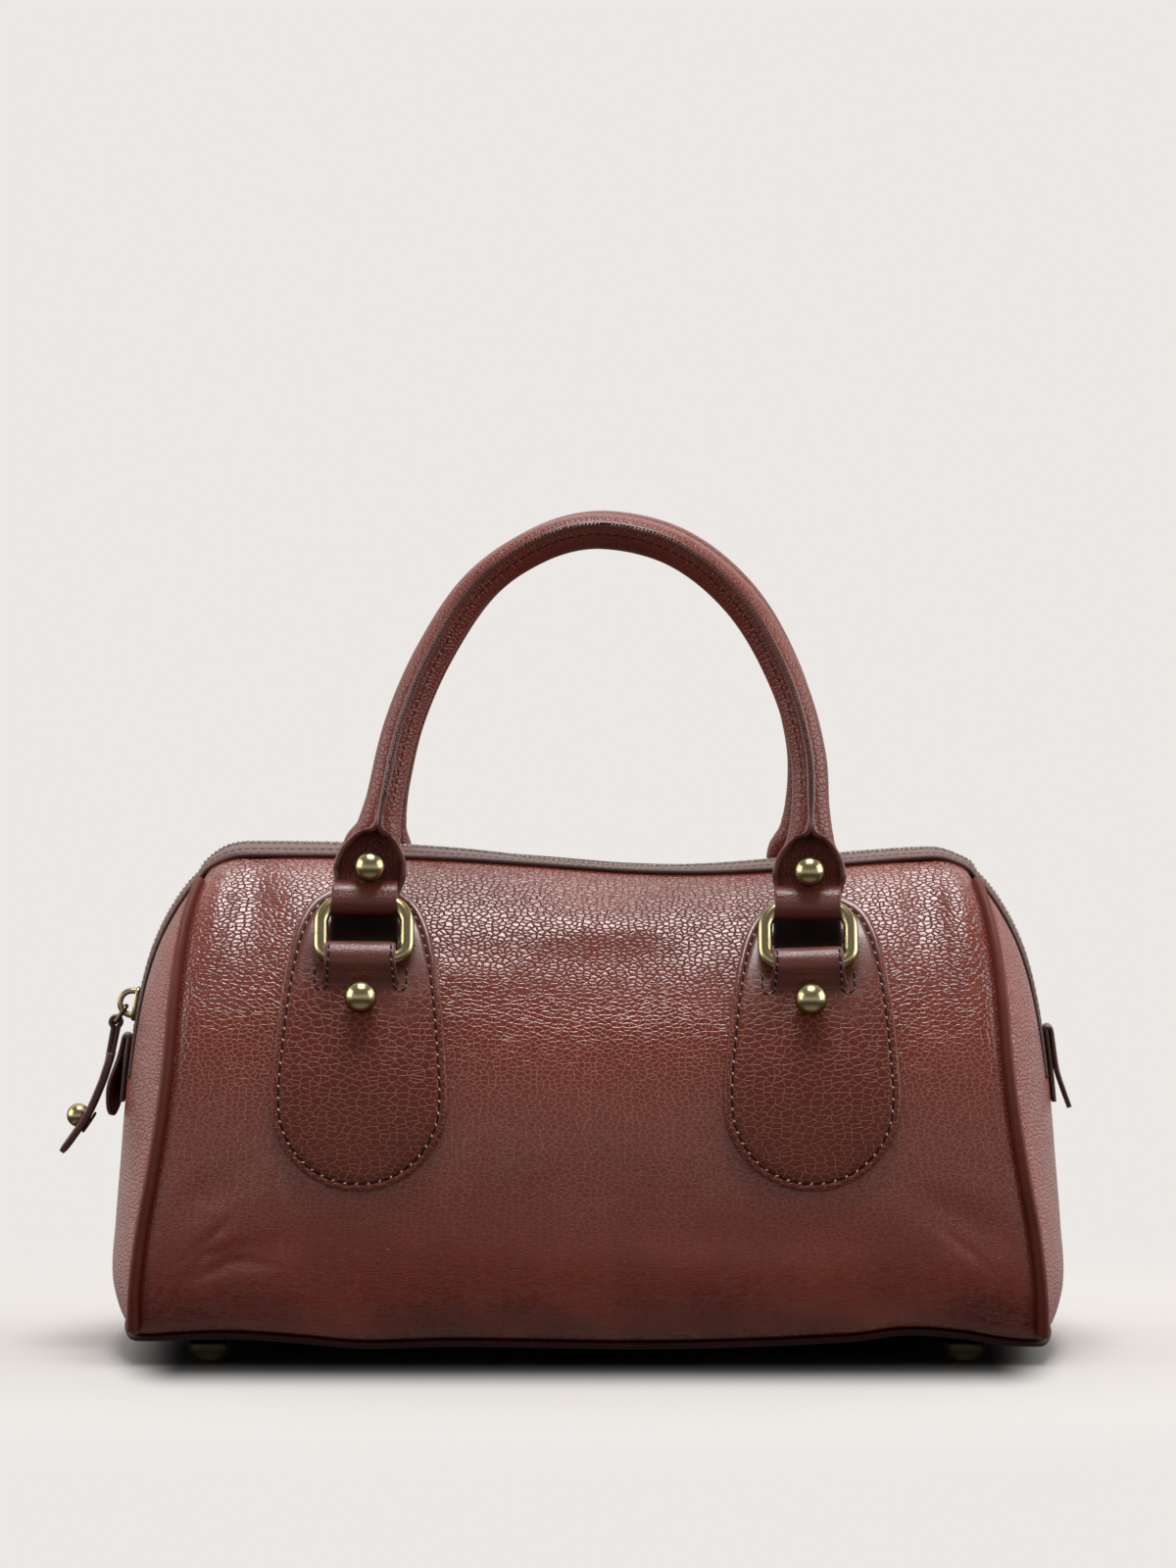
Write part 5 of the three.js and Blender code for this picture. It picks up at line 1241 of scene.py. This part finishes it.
for depth_name, side in SIDES:
    table = handle_line(side)
    length = table[-1, 0]
    start = HANDLE_END[0, 0]
    t = length / 2 + (length / 2 - start) * eased(ROLL_STEPS, ROLL_EVEN)
    near = np.minimum(t, length - t)
    half_width, half_thick, square, reach, lap = (read(HANDLE_END, near, n)[:, None] for n in range(1, 6))
    v = np.linspace(-1, 1, ROLL_AROUND)[None]
    lap_share = LAP_SHARE * np.clip(lap / LAP_FULL, 0.02, 1)
    part = np.clip(np.abs(v) / (1 - lap_share), 0, 1)
    rise = np.clip((np.abs(v) - (1 - lap_share)) / lap_share, 0, 1)
    theta = np.radians(reach) * part
    power = 1 - ROLL_SQUARE * square
    near_lap = np.clip((np.degrees(theta) - LAP_FROM) / (180 - LAP_FROM), 0, 1)
    ridge = 1 + lap / half_thick * near_lap ** LAP_CURVE
    wide = half_width * np.sign(v) * np.abs(np.sin(theta)) ** power * ridge
    out = -half_thick * boxed(np.cos(theta), power) * ridge + LAP_TIP * lap * rise
    spin = -side * seam_turn(near)[:, None]
    wide, out = wide * np.cos(spin) + out * np.sin(spin), out * np.cos(spin) - wide * np.sin(spin)
    roll_t = np.repeat(t[:, None], ROLL_AROUND, 1)
    core = on_handle(table, side, roll_t, 0 * wide, 0 * wide)
    roll = on_handle(table, side, roll_t, wide, out)
    piece("handle_roll_" + depth_name, roll, [roll_leather, inside_leather, edge_paint],
          ["handle_" + depth_name], inside=core, wall=ROLL_WALL)
    span = np.linspace(SEAM_FROM, length - SEAM_FROM, 300)
    beside = np.radians(180 - side * SEAM_BESIDE) + side * seam_turn(np.minimum(span, length - span))
    line, above = (on_handle(table, side, span, size * np.sin(beside), -size * np.cos(beside))
                   for size in (SEAM_RADIUS, SEAM_RADIUS + 1))
    stitch_row("handle_seam_" + depth_name, line, above - line, [brown_thread], 3.0, 0.2)
    bend = RING_WIRE + GAP + STRAP_HALF_THICK
    swing = np.radians(np.linspace(*STRAP_SWING, 50))
    loop_line = np.stack([HANDLE_LOOP + bend * np.cos(swing), bend * np.sin(swing)], -1)
    strap_line = evenly(np.concatenate([STRAP_LINE, loop_line, STRAP_TUCK]), 120)
    for end_name, (x, _, _) in RING_FORMS.items():
        name = depth_name + "_" + end_name
        at = strap_line[:, 0] if x < 0 else length - strap_line[:, 0]
        path = on_handle(table, side, at, 0 * at, strap_line[:, 1])
        path[:, 0] = x + STRAP_LEAN * (path[:, 0] - x)
        strap = ribbon(path, (1, 0, 0), STRAP_HALF, STRAP_HALF_THICK, 0.3, 48)
        rod("handle_strap_" + name, strap, tongue_leather)
        along, out = (np.array([value]) for value in HANDLE_STUD)
        spot = on_handle(table, side, along if x < 0 else length - along, 0 * along, out)
        ball_stud("handle_ball_" + name, spot[0], (0, side, HANDLE_LEAN), ["handle_stud_" + name],
                  HANDLE_STUD_NECK)

# Studio
# A floor of pale seamless paper that sweeps up behind the bag, with the bag's shadow painted under it, a wide
# soft light overhead, weaker ones at both sides, and a studio that is brightest above and behind.
BACKDROP = (0.838, 0.807, 0.783)
FLOOR_TONE = (0.494, 0.477, 0.463)
LIT_REACH, BACKDROP_REACH, REACH_STRETCH = 0.27, 0.5, (0.85, 1.5, 1.0)
# The painted shadow on the floor: its middle, half size, blur, darkness and stretch
SHADE_MIDDLE, SHADE_HALF, SHADE_BLUR, SHADE_TONE = (0.008, -0.02, 0), (0.137, 0.05, 0), 0.026, 0.06
SHADE_STRETCH = (1.0, 0.4, 0)
SWEEP_START, SWEEP_RADIUS, SWEEP_RISE, FLOOR_HALF, FLOOR_FRONT = 1.2, 1.5, 4.0, 12.0, -12.0
PHOTO_LONG_SIDE, FOCAL_PIXELS, SENSOR = 1600, 8400, 36.0
CAMERA_TILT, CAMERA_DISTANCE, CAMERA_TARGET = np.radians(3), 2.8, np.array([0, -0.05, 0.197])


def floor_paint(shade):
    """Matt paper with the bag's shadow painted into its colour, and farther off glows evenly as a lit
    backdrop does.
    """
    place = shade.node("TexCoord", None, None, "Object")
    speck = shade.noise(place, 60.0, 3.0)
    length = {"operation": "LENGTH"}
    reach = shade.node("VectorMath", length, {0: place.vector("MULTIPLY", REACH_STRETCH)}, "Value")
    away = reach.step(LIT_REACH, BACKDROP_REACH)
    # Painted shadow: the paper darkened in a soft rectangle under and in front of the bag
    beyond = place.vector("SUBTRACT", SHADE_MIDDLE).vector("ABSOLUTE", SHADE_MIDDLE)
    beyond = beyond.vector("SUBTRACT", SHADE_HALF).vector("MAXIMUM", (0, 0, 0))
    beyond = beyond.vector("MULTIPLY", SHADE_STRETCH)
    open_air = shade.node("VectorMath", length, {0: beyond}, "Value").step(0.0, SHADE_BLUR)
    paper = (speck * 0.04).mix(FLOOR_TONE, dyed(FLOOR_TONE, 0.9))
    paper = open_air.mix(dyed(FLOOR_TONE, SHADE_TONE), paper)
    return shade.node("BsdfPrincipled", None, {
        "Base Color": away.mix(paper, (0, 0, 0)),
        "Roughness": 0.95,
        "Specular IOR Level": 0.0,
        "Emission Color": away.mix((0, 0, 0), BACKDROP),
        "Emission Strength": 1.0,
    })


bend = np.linspace(0, np.pi / 2, 24)
sweep = np.concatenate([
    np.stack([np.linspace(FLOOR_FRONT, SWEEP_START, 20), np.zeros(20)], -1),
    np.stack([SWEEP_START + SWEEP_RADIUS * np.sin(bend), SWEEP_RADIUS * (1 - np.cos(bend))], -1)[1:],
    [(SWEEP_START + SWEEP_RADIUS, SWEEP_RADIUS + SWEEP_RISE)],
])
floor_x = np.array([-FLOOR_HALF, FLOOR_HALF])
floor_points = np.stack(np.broadcast_arrays(floor_x[None], sweep[:, :1], sweep[:, 1:]), -1)
floor_mesh = bpy.data.meshes.new("floor")
cells = np.arange(len(sweep) - 1)[:, None] * 2
floor_mesh.from_pydata(floor_points.reshape(-1, 3).tolist(), [], (cells + np.array([0, 1, 3, 2])).tolist())
floor_mesh.polygons.foreach_set("use_smooth", np.ones(len(cells), bool))
floor_mesh.materials.append(finish("pale_floor", floor_paint))
floor = bpy.data.objects.new("floor", floor_mesh)
floor.visible_glossy = floor.visible_diffuse = False
bpy.context.scene.collection.objects.link(floor)


def soft_light(name, place, aim, size, power):
    """A rectangular soft light at a place, aimed at a point."""
    lamp = bpy.data.lights.new(name, "AREA")
    lamp.shape, lamp.energy = "RECTANGLE", power
    lamp.size, lamp.size_y = size
    holder = bpy.data.objects.new(name, lamp)
    holder.location = place
    direction = Vector(aim) - Vector(place)
    holder.rotation_euler = direction.to_track_quat("-Z", "Y").to_euler()
    bpy.context.scene.collection.objects.link(holder)


soft_light("overhead", (0.08, -0.16, 1.95), (0.08, -0.16, 0.0), (0.9, 0.95), 37.5)
soft_light("left_wall", (-2.4, -0.05, 0.9), (0.0, 0.0, 0.15), (2.0, 1.6), 36)
soft_light("right_wall", (2.4, -0.05, 0.9), (0.0, 0.0, 0.15), (2.0, 1.6), 46)

world = bpy.data.worlds.new("studio_air")
world.use_nodes = True
world.node_tree.nodes.clear()
air = Wire(world.node_tree)
view = air.node("TexCoord", None, None, "Generated")
forward = air.node("SeparateXYZ", None, {"Vector": view}, "Y")
upward = air.node("SeparateXYZ", None, {"Vector": view}, "Z")
low = upward.step(-0.3, 0.05)
ground = (1 - upward.step(-0.85, -0.55)).mix((0.08, 0.08, 0.08), (0.32, 0.31, 0.30))
front = upward.step(0.05, 0.5).mix((0.73, 0.72, 0.71), (0.22, 0.215, 0.21))
lit = forward.step(-0.4, 0.5) * (1 - 0.75 * upward.step(0.15, 0.75)) * upward.step(-0.12, 0.08)
canopy = forward.step(0.3, 0.65) * upward.step(0.25, 0.6)
studio = canopy.mix(lit.mix(low.mix(ground, front), (0.80, 0.78, 0.76)), (2.2, 2.15, 2.1))
glow = air.node("Background", None, {"Color": studio, "Strength": 1.0})
air.node("OutputWorld", None, {"Surface": glow})
bpy.context.scene.world = world

camera = bpy.data.cameras.new("camera")
camera.sensor_fit, camera.sensor_width = "AUTO", SENSOR
camera.lens = FOCAL_PIXELS / PHOTO_LONG_SIDE * SENSOR
camera.clip_end = 50
viewer = bpy.data.objects.new("camera", camera)
offset = np.array([0, -np.cos(CAMERA_TILT), np.sin(CAMERA_TILT)]) * CAMERA_DISTANCE
viewer.location = CAMERA_TARGET + BAG_MIDDLE * MM + offset
viewer.rotation_euler = (np.pi / 2 - CAMERA_TILT, 0, 0)
bpy.context.scene.collection.objects.link(viewer)
bpy.context.scene.camera = viewer
bpy.context.scene.view_settings.view_transform = "Standard"
